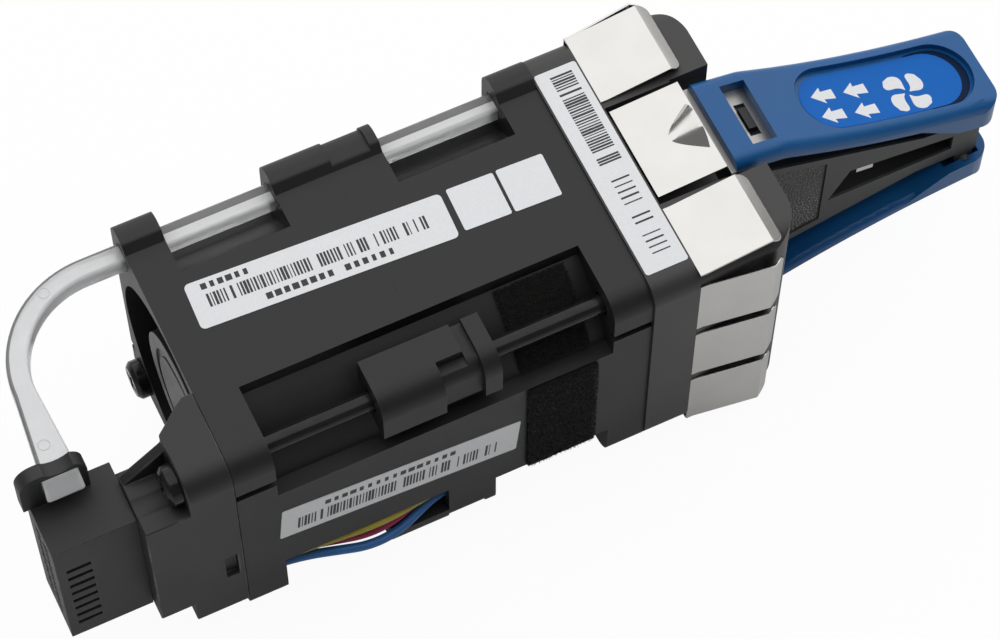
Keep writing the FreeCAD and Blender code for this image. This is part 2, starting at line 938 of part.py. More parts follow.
def lever_band(sign, inward_a, inward_b, half):
    """Solid between two lines that follow the lever's outer face, as wide as given."""
    outer = lever_face(sign, inward_a)
    inner = lever_face(sign, inward_b)
    edges = [
        Part.LineSegment(outer[0], outer[1]).toShape(),
        Part.Arc(outer[1], outer[2], outer[3]).toShape(),
        Part.LineSegment(outer[3], inner[3]).toShape(),
        Part.Arc(inner[3], inner[2], inner[1]).toShape(),
        Part.LineSegment(inner[1], inner[0]).toShape(),
        Part.LineSegment(inner[0], outer[0]).toShape(),
    ]
    face = Part.Face(Part.Wire(edges))
    face.translate(V(0, -half, 0))
    return face.extrude(V(0, 2 * half, 0))


def stadium(along, length, half):
    """Upright prism with round ends, for the lever's pocket."""
    x0 = band_end + along + half
    x1 = band_end + along + length - half
    middle = block(x0, x1, -half, half, -reach_across, reach_across)
    ends = [Part.makeCylinder(half, 2 * reach_across, V(x, 0, -reach_across)) for x in (x0, x1)]
    return fuse([middle] + ends)


def lever_shell(sign):
    """Lever blank: rounded rims, deeper at the tip, hollow under the base and round the pivot."""
    body = lever_band(sign, 0, lever_depth, lever_half_width)
    for inward, radius in ((0, lever_rim_round), (lever_depth, lever_inner_round)):
        base, knee = lever_face(sign, inward)[:2]

        def at_knee(edge):
            return is_along(edge, 1) and edge.CenterOfMass.distanceToPoint(knee) < tiny

        def rim(edge):
            """Side edge that starts at the base: its fillet runs on over the knee to the tip."""
            ends = [V(vertex.Point.x, 0, vertex.Point.z) for vertex in edge.Vertexes]
            at_base = any(end.distanceToPoint(base) < tiny for end in ends)
            return at_base and not is_along(edge, 1) and not is_along(edge, 2)
        body = rounded(body, lever_knee_round, at_knee)
        body = rounded(body, radius, rim)
    tip = lever_band(sign, lever_plate, lever_tip_depth, lever_half_width)
    ramp_end = handle_reach + lever_tip_wall
    ramp = handle_outline([
        (ramp_end, 0), (ramp_end, sign * lever_tip_rise), (ramp_end - lever_tip_run, sign * lever_tip_rise),
    ])
    body = fuse([body, tip.common(along_y(ramp, -lever_half_width, lever_half_width))])
    plan = block(band_end, handle_tip, -lever_half_width, lever_half_width, -bezel_side, bezel_side)

    def tip_corner(edge):
        return is_along(edge, 2) and edge.CenterOfMass.x > band_end + past
    body = body.common(rounded(plan, lever_tip_round, tip_corner))
    hollow = lever_band(sign, lever_plate, lever_tip_depth + past, lever_inside)
    base_end = band_end + lever_start + lever_base_hollow
    body = body.cut(hollow.common(slab(band_end, base_end)))
    return body.cut(hollow.common(slab(band_end + lever_tip_start, handle_tip - lever_tip_wall)))


def lever(sign):
    body = lever_shell(sign)
    pocket = lever_band(sign, -past, pocket_depth, lever_half_width)
    body = body.cut(pocket.common(stadium(pocket_start, pocket_length, pocket_half_width)))
    window = block(
        lever_window_x, lever_window_x + lever_window_length,
        -lever_window_half_width, lever_window_half_width, -bezel_side, bezel_side,
    )
    body = body.cut(window)
    x, z = handle_point(pivot_along, sign * pivot_height)
    reach = core_half_width + pivot_stud_length + pivot_clearance
    body = body.cut(cross_rod(pivot_stud_radius + pivot_clearance, -reach, reach, x, z))
    tab_under = lever_plate + tab_thickness
    rib = lever_band(sign, tab_under, tab_under + catch_rib_depth, lever_inside)
    rib = rib.common(slab(catch_x - catch_rib_width / 2, catch_x + catch_rib_width / 2))
    catch = lever_band(sign, lever_plate - tab_thickness, tab_under + catch_rib_depth, catch_length / 2)
    catch_half = tab_slot_width / 2 - catch_fit
    catch = catch.common(slab(catch_x - catch_half, catch_x + catch_half))
    return fuse([body, rib, catch])


def latch_tab(sign):
    """Nickel tab under the lever's base, hooked over the catch, with a lip across the lever's end."""
    start = band_end + lever_start
    tab = lever_band(sign, lever_plate, lever_plate + tab_thickness, lever_inside - seat_fit)
    tab = tab.common(slab(start, start + tab_length))
    outer = sign * (lever_height - lever_plate)
    inner = outer - sign * tab_thickness
    lip = block(
        start - tab_lip, start,
        -lever_half_width, lever_half_width, min(outer, inner), max(outer, inner),
    )
    tab = fuse([tab, lip])
    slot = block(
        catch_x - tab_slot_width / 2, catch_x + tab_slot_width / 2,
        -tab_slot_length / 2, tab_slot_length / 2, -bezel_side, bezel_side,
    )
    return tab.cut(slot)


for name, sign in (("top", 1), ("bottom", -1)):
    save("lever_" + name, lever(sign))
    save("latch_tab_" + name, latch_tab(sign))

# Connector bracket: screw corner, gusset and rib over a block that carries the connector


housing_front = -bracket_depth + housing_tongue
housing_rear = -bracket_depth - housing_length
housing_far = -housing_near + housing_width
housing_top = housing_level + housing_height / 2
housing_bottom = housing_level - housing_height / 2


def housing_tongue_bar(x0, x1, grow):
    """Narrower end of the housing that seats in the bracket, or its socket."""
    inset = housing_tongue_inset - grow
    return block(
        x0, x1,
        -housing_near + inset, housing_far - inset,
        housing_bottom + inset, housing_top - inset,
    )


def bracket():
    rib_near = -bracket_top_edge - rib_thickness / 2
    rib_far = -bracket_top_edge + rib_thickness / 2
    corner = block(-bracket_corner_depth, 0, -side, -bracket_top_edge, bracket_shelf - past, side)

    def outer_corner(edge):
        middle = edge.CenterOfMass
        return is_along(edge, 0) and abs(middle.y + side) < tiny and abs(middle.z - side) < tiny
    corner = rounded(corner, flange_corner_radius, outer_corner)
    gusset = along_z([
        (0, -bracket_top_edge), (0, -bracket_top_edge + gusset_reach),
        (-gusset_thickness, -bracket_top_edge + gusset_reach),
        (-bracket_corner_depth, rib_far), (-bracket_corner_depth, -bracket_top_edge),
    ], bracket_shelf, side)
    rib = along_y([
        (-bracket_corner_depth, side - rib_drop), (-bracket_corner_depth, bracket_shelf - past),
        (-bracket_depth, bracket_shelf - past), (-bracket_depth, bracket_shelf),
    ], rib_near, rib_far)
    body = block(-bracket_depth, 0, -side, rib_far, -bracket_bottom, bracket_shelf)
    heel = block(-bracket_heel_depth, 0, -side, rib_far, -bracket_heel, -bracket_bottom + past)
    solid = fuse([corner, gusset, rib, body, heel])
    hole = rod(screw_hole_radius, -bracket_depth - past, past, -screw_offset, screw_offset)
    head_room = rod(
        screw_head_radius + screw_clearance, -bracket_depth - past, -bracket_corner_depth,
        -screw_offset, screw_offset,
    )
    notch = block(
        -notch_start - notch_width, -notch_start,
        -side - past, -side + notch_depth,
        notch_level, notch_level + notch_height,
    )
    socket = housing_tongue_bar(-bracket_depth - past, housing_front, pipe_fit)
    inside = block(
        -bracket_depth + bracket_wall, past,
        -side + bracket_wall, rib_far + past,
        -bracket_bottom + bracket_wall, bracket_shelf - bracket_wall,
    )
    tunnel = block(
        -bracket_heel_depth + bracket_wall, past,
        lead_y - lead_half, lead_y + lead_half,
        -bracket_heel - past, -bracket_bottom + bracket_wall + past,
    )
    for cut in [hole, head_room, notch, socket, inside, tunnel]:
        solid = solid.cut(cut)
    return solid


save("connector_bracket", bracket())

# Connector: slotted housing with rows of contacts and a loop that holds the light pipe's end
contact_centre = (-housing_near + housing_far) / 2
pipe_end_x = -pipe_bend_lead - (pipe_bend_radius + pipe_outer_bend) / 2 - pipe_end_shift


def contact_places():
    for row in range(contact_rows):
        for column in range(contact_columns):
            y = contact_centre + (column - (contact_columns - 1) / 2) * contact_pitch
            yield y, housing_level + (row - (contact_rows - 1) / 2) * contact_pitch


def pipe_outline(grow):
    """Plan outline of the light pipe: straight run, quarter bend and a widening end, as a face."""
    bend_x = -pipe_bend_lead
    bend_y = pipe_inner - pipe_bend_radius
    outer_y = pipe_outer - pipe_outer_bend
    outer_r = pipe_outer_bend + grow
    inner_r = pipe_bend_radius - grow
    front = nose_front - pipe_front_gap
    diagonal = math.cos(math.pi / 4)
    end_half = pipe_end_width / 2 + grow
    end_y = pipe_end_y - grow
    p = [
        V(front, pipe_outer + grow, 0),
        V(bend_x, pipe_outer + grow, 0),
        V(bend_x - outer_r * diagonal, outer_y + outer_r * diagonal, 0),
        V(bend_x - outer_r, outer_y, 0),
        V(pipe_end_x - end_half, end_y, 0),
        V(pipe_end_x + end_half, end_y, 0),
        V(bend_x - inner_r, bend_y, 0),
        V(bend_x - inner_r * diagonal, bend_y + inner_r * diagonal, 0),
        V(bend_x, pipe_inner - grow, 0),
        V(front, pipe_inner - grow, 0),
    ]
    edges = [
        Part.LineSegment(p[0], p[1]).toShape(), Part.Arc(p[1], p[2], p[3]).toShape(),
        Part.LineSegment(p[3], p[4]).toShape(), Part.LineSegment(p[4], p[5]).toShape(),
        Part.LineSegment(p[5], p[6]).toShape(), Part.Arc(p[6], p[7], p[8]).toShape(),
        Part.LineSegment(p[8], p[9]).toShape(), Part.LineSegment(p[9], p[0]).toShape(),
    ]
    return Part.Face(Part.Wire(edges))


def light_pipe():
    face = pipe_outline(0)
    face.translate(V(0, 0, pipe_inner))
    solid = face.extrude(V(0, 0, pipe_width))
    slant = along_x([
        (pipe_end_y - past, pipe_inner), (pipe_end_y, pipe_inner + pipe_end_lip),
        (pipe_end_y + pipe_width, pipe_outer + past), (pipe_end_y - past, pipe_outer + past),
    ], housing_rear - pipe_end_width, -pipe_bend_lead)
    solid = solid.cut(slant)

    def long_edge(edge):
        box = edge.BoundBox
        flat = box.ZLength < tiny
        return flat and edge.Length > pipe_end_width + past
    return solid.makeChamfer(pipe_edge, [edge for edge in solid.Edges if long_edge(edge)])


def loop():
    """Upright kidney-shaped ring on the housing's top, around the end of the pipe."""
    x0 = housing_rear - loop_overhang
    x1 = x0 + loop_width
    y1 = housing_far
    y0 = y1 - loop_thickness
    top = pipe_outer + loop_wall
    solid = block(x0, x1, y0, y1, housing_top, top)

    def top_corner(edge):
        return is_along(edge, 1) and edge.CenterOfMass.z > housing_top + past
    solid = rounded(solid, loop_round, top_corner)
    dip_level = top + loop_dip_radius - loop_dip
    dip = cross_rod(loop_dip_radius, y0 - past, y1 + past, x0 + loop_dip_place, dip_level)
    face = pipe_outline(pipe_fit)
    face.translate(V(0, 0, pipe_inner - pipe_fit))
    opening = face.extrude(V(0, 0, pipe_width + 2 * pipe_fit))
    return solid.cut(dip).cut(opening)


def housing():
    outside = block(housing_rear, -bracket_depth, -housing_near, housing_far, housing_bottom, housing_top)
    tongue = housing_tongue_bar(-bracket_depth - past, housing_front, 0)
    solid = fuse([outside, tongue, loop()])
    for y, z in contact_places():
        solid = solid.cut(square_bar(housing_rear - past, housing_rear + cavity_depth, y, z, cavity_side / 2))
        contact_hole = contact_side / 2 + seat_fit
        solid = solid.cut(square_bar(housing_rear, housing_front + past, y, z, contact_hole))
    for row in range(contact_rows):
        z = slot_level + (row - (contact_rows - 1) / 2) * slot_pitch
        solid = solid.cut(block(
            housing_rear + slot_inset, housing_rear + slot_inset + slot_length,
            -housing_near - past, -housing_near + slot_depth,
            z - slot_height / 2, z + slot_height / 2,
        ))
    return solid


def contacts():
    end = housing_front + past
    start = end - contact_length
    return Part.makeCompound([square_bar(start, end, y, z, contact_side / 2) for y, z in contact_places()])


save("light_pipe", light_pipe())
save("connector_housing", housing())
save("connector_contacts", contacts())

# Long screws through the frames into the bezel


def long_screw(head_x, y, z):
    shank = rod(screw_radius - seat_fit, head_x, fan_length + screw_bite, y, z)
    head = rod(screw_head_radius, head_x - screw_head_height, head_x, y, z)
    outer_circle = [edge for edge in head.Edges if edge.BoundBox.XMax < head_x - screw_head_height / 2]
    head = head.makeChamfer(screw_head_edge, outer_circle)
    front = head_x - screw_head_height - past
    floor = head_x - screw_head_height + recess_depth
    half = recess_width / 2
    upright = block(front, floor, y - half, y + half, z - recess_reach, z + recess_reach)
    level = block(front, floor, y - recess_reach, y + recess_reach, z - half, z + half)
    return fuse([shank, head]).cut(upright).cut(level)


save("long_screws", Part.makeCompound([
    long_screw(-bracket_corner_depth, -screw_offset, screw_offset),
    long_screw(0, screw_offset, -screw_offset),
]))

# Leads in the near lower channel, bowed a little between the two humps


def rounded_path(points):
    """Wire of straight runs joined by tangent arcs as large as the runs allow."""
    edges = []
    last = points[0]
    for i in range(1, len(points) - 1):
        corner = points[i]
        back = points[i - 1] - corner
        ahead = points[i + 1] - corner
        half_angle = (math.pi - back.getAngle(ahead)) / 2
        trim = lead_trim * min(back.Length, ahead.Length)
        radius = trim / math.tan(half_angle)
        back.normalize()
        ahead.normalize()
        inward = (back + ahead).normalize()
        middle = corner + inward * (radius / math.cos(half_angle) - radius)
        start = corner + back * trim
        end = corner + ahead * trim
        edges.append(Part.LineSegment(last, start).toShape())
        edges.append(Part.Arc(start, middle, end).toShape())
        last = end
    edges.append(Part.LineSegment(last, points[-1]).toShape())
    return Part.Wire(edges)


def lead(column, row, bow_y, bow_z):
    """One insulated lead: out of the bracket, bowed out of the channel and in again over the tray."""
    y = lead_y + (column - 0.5) * lead_pitch
    z = lead_z + (row - 0.5) * lead_pitch
    start = -bracket_heel_depth + bracket_wall + past
    leave = flange_depth + lead_lead
    enter = seam - lead_lead
    end = seam + hump_length / 2
    path = rounded_path([
        V(start, y, z),
        V(leave, y, z),
        V(lead_bow_x, y + bow_y, z + bow_z),
        V(enter, y, z),
        V(end, y, z),
    ])
    section = Part.Face(Part.Wire([Part.makeCircle(lead_radius, V(start, y, z), V(1, 0, 0))]))
    return path.makePipe(section)


for name, bow in lead_bows.items():
    save("lead_" + name, lead(*bow))

# Felt pads stuck on the front half: one on the duct wall under the screw and one on the near side
pad_x = seam + pad_start
pad_end = pad_x + pad_length
save("felt_pad_side", block(
    pad_x, pad_end,
    -side - pad_thickness, -side,
    -front_channel_floor + pad_edge, screw_corner_flat - pad_edge,
))
pad_section = Part.makeCylinder(
    barrel_radius + pad_thickness, pad_length, V(pad_x, 0, 0), V(1, 0, 0), pad_top_end - pad_top_start)
pad_top = pad_section.cut(rod(barrel_radius, pad_x - past, pad_end + past))
save("felt_pad_top", turned(pad_top, pad_top_start))
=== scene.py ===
import bmesh
import bpy
import json
import math
import random
from mathutils import Matrix, Vector
from mathutils.bvhtree import BVHTree

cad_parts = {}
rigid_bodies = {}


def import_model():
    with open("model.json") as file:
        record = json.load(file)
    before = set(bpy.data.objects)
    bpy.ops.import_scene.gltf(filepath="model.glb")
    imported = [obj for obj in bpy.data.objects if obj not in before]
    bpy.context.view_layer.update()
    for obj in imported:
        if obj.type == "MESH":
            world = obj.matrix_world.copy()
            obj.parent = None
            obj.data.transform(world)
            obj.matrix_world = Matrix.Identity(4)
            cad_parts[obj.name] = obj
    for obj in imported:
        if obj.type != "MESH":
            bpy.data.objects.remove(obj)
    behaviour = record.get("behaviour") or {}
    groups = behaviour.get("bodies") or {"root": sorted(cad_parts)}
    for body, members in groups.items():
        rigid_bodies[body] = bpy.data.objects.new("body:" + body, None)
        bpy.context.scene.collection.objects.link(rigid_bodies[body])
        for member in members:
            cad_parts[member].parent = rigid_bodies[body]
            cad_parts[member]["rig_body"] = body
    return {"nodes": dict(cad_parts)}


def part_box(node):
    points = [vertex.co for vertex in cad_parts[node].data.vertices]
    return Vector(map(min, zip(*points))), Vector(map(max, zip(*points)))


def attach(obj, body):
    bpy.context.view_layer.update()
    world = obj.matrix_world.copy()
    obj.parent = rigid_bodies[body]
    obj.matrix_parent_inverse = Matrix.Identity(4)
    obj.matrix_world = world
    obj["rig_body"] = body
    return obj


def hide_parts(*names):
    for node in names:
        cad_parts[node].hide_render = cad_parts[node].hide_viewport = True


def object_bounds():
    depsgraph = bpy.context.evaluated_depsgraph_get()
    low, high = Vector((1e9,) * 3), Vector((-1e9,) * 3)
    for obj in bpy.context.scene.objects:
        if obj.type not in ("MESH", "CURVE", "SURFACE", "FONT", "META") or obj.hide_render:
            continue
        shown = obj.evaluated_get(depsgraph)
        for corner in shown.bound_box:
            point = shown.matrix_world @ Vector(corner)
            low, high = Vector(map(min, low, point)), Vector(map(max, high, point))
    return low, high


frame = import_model()
cad_low, cad_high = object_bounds()
scene = bpy.context.scene
mm = 0.001

# Fan frames: two square ducts moulded in black glass-filled plastic and screwed together back to back.
# The mould leaves a fine spark-eroded grain on the walls. The edges are slightly broken, and a painted
# highlight makes them a little paler in places.


class Channel:
    """One socket of a material or a geometry tree. Arithmetic on it adds Math nodes beside it."""

    def __init__(self, socket):
        self.socket = socket

    def node(self, kind, settings, values, output=0):
        """New node in the same tree: its settings first, then the values or links of its sockets."""
        tree = self.socket.id_data
        made = tree.nodes.new(kind)
        for name, setting in settings.items():
            setattr(made, name, setting)
        for key, value in values.items():
            if isinstance(value, Channel):
                tree.links.new(value.socket, made.inputs[key])
            else:
                made.inputs[key].default_value = value
        return Channel(made.outputs[output])

    def maths(self, operation, left, right):
        return self.node("ShaderNodeMath", {"operation": operation}, {0: left, 1: right})

    def __add__(self, other):
        return self.maths("ADD", self, other)

    def __radd__(self, other):
        return self.maths("ADD", other, self)

    def __sub__(self, other):
        return self.maths("SUBTRACT", self, other)

    def __rsub__(self, other):
        return self.maths("SUBTRACT", other, self)

    def __mul__(self, other):
        return self.maths("MULTIPLY", self, other)

    def __rmul__(self, other):
        return self.maths("MULTIPLY", other, self)

    def __pow__(self, other):
        return self.maths("POWER", self, other)

    def above(self, level):
        """1 where this value is above the level, or else 0."""
        return self.maths("GREATER_THAN", self, level)

    def at_least(self, level):
        return self.maths("MAXIMUM", self, level)

    def at_most(self, level):
        return self.maths("MINIMUM", self, level)

    def unsigned(self):
        return self.maths("ABSOLUTE", self, 0.0)

    def axis(self, number):
        """One of the three parts of a vector."""
        return self.node("ShaderNodeSeparateXYZ", {}, {"Vector": self}, number)

    def between(self, colour_a, colour_b):
        """Mix of two colours by this value."""
        mixed = {0: self, 6: colour_a, 7: colour_b}
        return self.node("ShaderNodeMix", {"data_type": "RGBA"}, mixed, 2)

    def noise(self, size, detail=2.0):
        """Cloudy value from 0 to 1 whose spots are about as large as given."""
        cloud = {"Vector": self, "Scale": 1 / size, "Detail": detail}
        return self.node("ShaderNodeTexNoise", {}, cloud)

    def stretched(self, x, y, z):
        """Coordinates scaled per axis, to draw a pattern out along one of them."""
        return self.node("ShaderNodeVectorMath", {"operation": "MULTIPLY"}, {0: self, 1: (x, y, z)})

    def relief(self, depth, strength):
        """Normal that this value gives as a height."""
        height = {"Height": self, "Distance": depth, "Strength": strength}
        return self.node("ShaderNodeBump", {}, height)

    def feed(self, shader, socket):
        self.socket.id_data.links.new(self.socket, shader.inputs[socket])


def own_coordinates(material):
    return Channel(material.node_tree.nodes.new("ShaderNodeTexCoord").outputs["Object"])


def new_finish(name, fixed):
    """Material with its fixed shader sockets set, its shader, and the surface's own coordinates."""
    material = bpy.data.materials.new(name)
    material.use_nodes = True
    shader = material.node_tree.nodes["Principled BSDF"]
    for socket, value in fixed.items():
        shader.inputs[socket].default_value = value
    return material, shader, own_coordinates(material)


# The bevel faces carry this attribute, and the moulded plastics paint a highlight on them.
edge_mark = "painted_highlight_edge"
edge_highlight_lift = 0.045
edge_highlight_patch = 3.5 * mm
edge_highlight_start = 0.44
edge_highlight_contrast = 5
cloud_size = 9 * mm


def moulded_plastic(name, dark, pale, rough, grain, depth, gloss=0.42):
    """Moulded plastic: fine eroded grain, soft clouds in its tone and gloss, and a painted highlight
    that makes the edges paler in places."""
    material, shader, place = new_finish(name, {"Specular IOR Level": gloss})
    clouds = place.noise(cloud_size, 3.0)
    pits = place.noise(grain)
    on_edge = place.node("ShaderNodeAttribute", {"attribute_name": edge_mark}, {}, 2)
    # Painted highlight: the bevel faces are painted paler in noisy patches. This stands in for light
    # caught on the edges.
    patches = edge_highlight_contrast * (place.noise(edge_highlight_patch, 3.0) - edge_highlight_start)
    painted_edge_highlight = on_edge * patches.at_least(0.0)
    rubbed_spots_and_edge_highlight = tuple(part + edge_highlight_lift for part in pale[:3]) + (1,)
    painted_edge_highlight.between(clouds.between(dark, pale), rubbed_spots_and_edge_highlight).feed(shader, "Base Color")
    (rough + 0.14 * clouds + 0.08 * pits - 0.1 * painted_edge_highlight).feed(shader, "Roughness")
    pits.relief(depth, 0.5).feed(shader, "Normal")
    return material


def kept_mesh(piece):
    """Turn a piece with modifiers into a plain mesh."""
    shown = piece.evaluated_get(bpy.context.evaluated_depsgraph_get())
    mesh = bpy.data.meshes.new_from_object(shown)
    piece.modifiers.clear()
    piece.data = mesh


def new_piece(name, mesh, material):
    piece = bpy.data.objects.new(name, mesh)
    scene.collection.objects.link(piece)
    mesh.materials.clear()
    mesh.materials.append(material)
    return piece


weld_distance = 0.002 * mm
flat_angle = math.radians(0.8)


def opened_copy(node, name):
    """New mesh for a piece, and an open copy of a solid with its triangles joined to flat faces."""
    solid = frame["nodes"][node].data
    mesh = bpy.data.meshes.new(name)
    corners = [vertex.co for vertex in solid.vertices]
    mesh.from_pydata(corners, [], [face.vertices[:] for face in solid.polygons])
    shape = bmesh.new()
    shape.from_mesh(mesh)
    bmesh.ops.remove_doubles(shape, verts=shape.verts, dist=weld_distance)
    bmesh.ops.dissolve_limit(shape, angle_limit=flat_angle, verts=shape.verts, edges=shape.edges)
    return mesh, shape


def closed_smooth(mesh, shape):
    """Put an open shape into its mesh, shaded smooth."""
    for face in shape.faces:
        face.smooth = True
    shape.to_mesh(mesh)
    shape.free()


def mark_edges(mesh):
    """Note the faces of the broken edges, which have the second material, and give all faces the
    first."""
    marks = mesh.attributes.new(edge_mark, "FLOAT", "FACE")
    for face, mark in zip(mesh.polygons, marks.data):
        mark.value = face.material_index
        face.material_index = 0
    mesh.materials.pop(index=1)


sharp_angle = math.radians(32)


def dressed(node, material, edge, steps=2):
    """Copy of a solid with its edges broken by the given width. It stands for the solid."""
    mesh, shape = opened_copy(node, node + "_dressed")
    closed_smooth(mesh, shape)
    piece = new_piece(node + "_dressed", mesh, material)
    mesh.materials.append(material)
    bevel = piece.modifiers.new("broken_edges", "BEVEL")
    bevel.material = 1
    bevel.limit_method = "ANGLE"
    bevel.angle_limit = sharp_angle
    bevel.width = edge
    bevel.segments = steps
    bevel.use_clamp_overlap = True
    even = piece.modifiers.new("even_shading", "WEIGHTED_NORMAL")
    even.mode = "FACE_AREA_WITH_ANGLE"
    even.keep_sharp = True
    kept_mesh(piece)
    mark_edges(piece.data)
    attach(piece, frame["nodes"][node]["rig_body"])
    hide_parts(node)


frame_black = moulded_plastic(
    "frame_black", dark=(0.009, 0.009, 0.0092, 1), pale=(0.0145, 0.0144, 0.0145, 1),
    rough=0.36, grain=0.22 * mm, depth=0.02 * mm, gloss=0.33)
for half in ("rear", "front"):
    dressed(half + "_fan_frame", frame_black, edge=0.22 * mm)

# Motors: ball bearings, a round board, a laminated stator and four wound coils in each half.
# They sit on the moulded base at the seam, hidden by the hubs.


def painted(node, material):
    """A solid that keeps its own mesh and takes a finish."""
    frame["nodes"][node].material_slots[0].material = material


def ground_metal(name, colour, rough, stretch):
    """Turned or rolled metal with faint lines drawn out along one direction."""
    material, shader, place = new_finish(name, {"Metallic": 1.0, "Base Color": colour})
    lines = place.stretched(*stretch).noise(0.25 * mm, 3.0)
    (rough + 0.16 * lines).feed(shader, "Roughness")
    lines.relief(0.004 * mm, 0.4).feed(shader, "Normal")
    return material


def board_lacquer():
    """Green solder lacquer, a little uneven over the copper below."""
    material, shader, place = new_finish("board_lacquer", {"Specular IOR Level": 0.5})
    runs = place.noise(1.6 * mm, 1.0).above(0.52)
    runs.between((0.006, 0.05, 0.02, 1), (0.012, 0.085, 0.035, 1)).feed(shader, "Base Color")
    (0.3 + 0.1 * runs).feed(shader, "Roughness")
    return material


def wound_copper():
    """Enamelled wire laid turn by turn: fine ridges across the coil."""
    material, shader, place = new_finish("wound_copper", {"Metallic": 1.0, "Roughness": 0.35})
    turn_pitch = 1.3 * mm
    turns = place.node(
        "ShaderNodeTexWave", {"bands_direction": "Z"}, {"Vector": place, "Scale": 1 / turn_pitch}, 1)
    turns.between((0.28, 0.09, 0.03, 1), (0.62, 0.27, 0.12, 1)).feed(shader, "Base Color")
    turns.relief(0.05 * mm, 0.8).feed(shader, "Normal")
    return material


bearing_steel = ground_metal("bearing_steel", (0.58, 0.58, 0.6, 1), rough=0.16, stretch=(1, 6, 6))
yoke_steel = ground_metal("yoke_steel", (0.42, 0.42, 0.43, 1), rough=0.28, stretch=(1, 6, 6))
stacked_sheet = ground_metal("stacked_sheet", (0.3, 0.3, 0.32, 1), rough=0.34, stretch=(9, 1, 1))
ring_ferrite = moulded_plastic(
    "ring_ferrite", dark=(0.02, 0.02, 0.021, 1), pale=(0.035, 0.034, 0.034, 1),
    rough=0.5, grain=0.1 * mm, depth=0.01 * mm)
motor_finishes = {
    "bearings": bearing_steel,
    "motor_board": board_lacquer(),
    "stator_core": stacked_sheet,
    "stator_coils": wound_copper(),
    "rotor_yoke": yoke_steel,
    "magnet": ring_ferrite,
    "shaft": bearing_steel,
    "retaining_clip": yoke_steel,
}
for half in ("rear", "front"):
    for piece_name, material in motor_finishes.items():
        painted(half + "_" + piece_name, material)

# Impellers: hub and blades moulded in one piece of smoother black plastic, one hand of blade in each
# half so that the two turn opposite ways.
impeller_black = moulded_plastic(
    "impeller_black", dark=(0.009, 0.009, 0.0095, 1), pale=(0.014, 0.014, 0.0145, 1),
    rough=0.3, grain=0.3 * mm, depth=0.008 * mm)
for half in ("rear", "front"):
    dressed(half + "_impeller", impeller_black, edge=0.1 * mm)

# Light pipe: one clear polycarbonate moulding that runs in the far upper channel and bends round
# behind the flange to the connector. Ejector pins leave small round marks on its upper side.


def clear_moulding(upper_side, far_half, run_start, bend_x, bend_y, rim_start, leg_flare):
    """Clear plastic, a little milky. Painted light: the straight run in the channel is painted paler,
    standing in for light carried along inside it. Painted shade: dark edges are painted on its upper
    side, along the channel's wall over the far half of the straight run, and round the outside of the
    bend and its leg."""
    material, shader, place = new_finish(
        "clear_moulding", {"Transmission Weight": 0.45, "IOR": 1.5})
    along = place.axis(0)
    across = place.axis(1)
    flow = place.noise(3 * mm)
    in_channel = along.above(run_start)
    behind = (along - bend_x).at_most(0.0)
    aside = (across - bend_y).at_least(0.0)
    leg = (bend_y - across).at_least(0.0)
    reach = (behind * behind + aside * aside) ** 0.5
    on_rim = (reach - leg_flare * leg).above(rim_start)
    on_wall = in_channel * across.above(far_half)
    edge = place.axis(2).above(upper_side) * on_rim.at_least(on_wall)
    skin = flow.between((0.73, 0.74, 0.75, 1), (0.83, 0.835, 0.84, 1))
    # Painted light: the run in the channel is painted near white.
    lit = in_channel.between(skin, (0.97, 0.975, 0.98, 1))
    # Painted shade: the dark edges on the upper side.
    edge.between(lit, (0.18, 0.18, 0.18, 1)).feed(shader, "Base Color")
    (0.06 + 0.1 * flow).feed(shader, "Roughness")
    return material


pipe_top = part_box("light_pipe")[1].z
clear_plastic = clear_moulding(
    upper_side=pipe_top - 0.3 * mm, far_half=16.6 * mm, run_start=6.0 * mm,
    bend_x=-5.3 * mm, bend_y=3.0 * mm, rim_start=14.55 * mm, leg_flare=0.104)
dressed("light_pipe", clear_plastic, edge=0.2 * mm)


def new_tree(name, inputs):
    """Empty geometry tree with named inputs, and a channel for each of them."""
    tree = bpy.data.node_groups.new(name, "GeometryNodeTree")
    tree.interface.new_socket("Geometry", in_out="OUTPUT", socket_type="NodeSocketGeometry")
    for label, kind in inputs.items():
        tree.interface.new_socket(label, in_out="INPUT", socket_type=kind)
    start = tree.nodes.new("NodeGroupInput")
    return tree, {label: Channel(start.outputs[label]) for label in inputs}


def close_tree(tree, made, material):
    """End a tree in real faces with a material."""
    real = made.node("GeometryNodeRealizeInstances", {}, {"Geometry": made})
    done = real.node("GeometryNodeSetMaterial", {}, {"Geometry": real, "Material": material})
    end = tree.nodes.new("NodeGroupOutput")
    tree.links.new(done.socket, end.inputs[0])


def grown(piece, tree, values):
    """Run a geometry tree on a piece and keep the result as a plain mesh."""
    modifier = piece.modifiers.new(tree.name, "NODES")
    modifier.node_group = tree
    for item in tree.interface.items_tree:
        if item.in_out == "INPUT" and item.name in values:
            modifier[item.identifier] = values[item.name]
    kept_mesh(piece)


def point_cloud(name, points, material):
    """Loose vertices for a tree to set its copies on."""
    mesh = bpy.data.meshes.new(name)
    mesh.from_pydata(points, [], [])
    return new_piece(name, mesh, material)


def pin_mark_tree():
    """Thin raised rings, one on each point."""
    tree, given = new_tree("pin_marks", {
        "Geometry": "NodeSocketGeometry", "Radius": "NodeSocketFloat", "Rim": "NodeSocketFloat",
        "Material": "NodeSocketMaterial"})
    circle = "GeometryNodeCurvePrimitiveCircle"
    path = given["Radius"].node(circle, {}, {"Resolution": 28, "Radius": given["Radius"]})
    wire = given["Rim"].node(circle, {}, {"Resolution": 6, "Radius": given["Rim"]})
    ring = path.node("GeometryNodeCurveToMesh", {}, {"Curve": path, "Profile Curve": wire})
    copies = ring.node("GeometryNodeInstanceOnPoints", {}, {
        "Points": given["Geometry"], "Instance": ring})
    close_tree(tree, copies, given["Material"])
    return tree


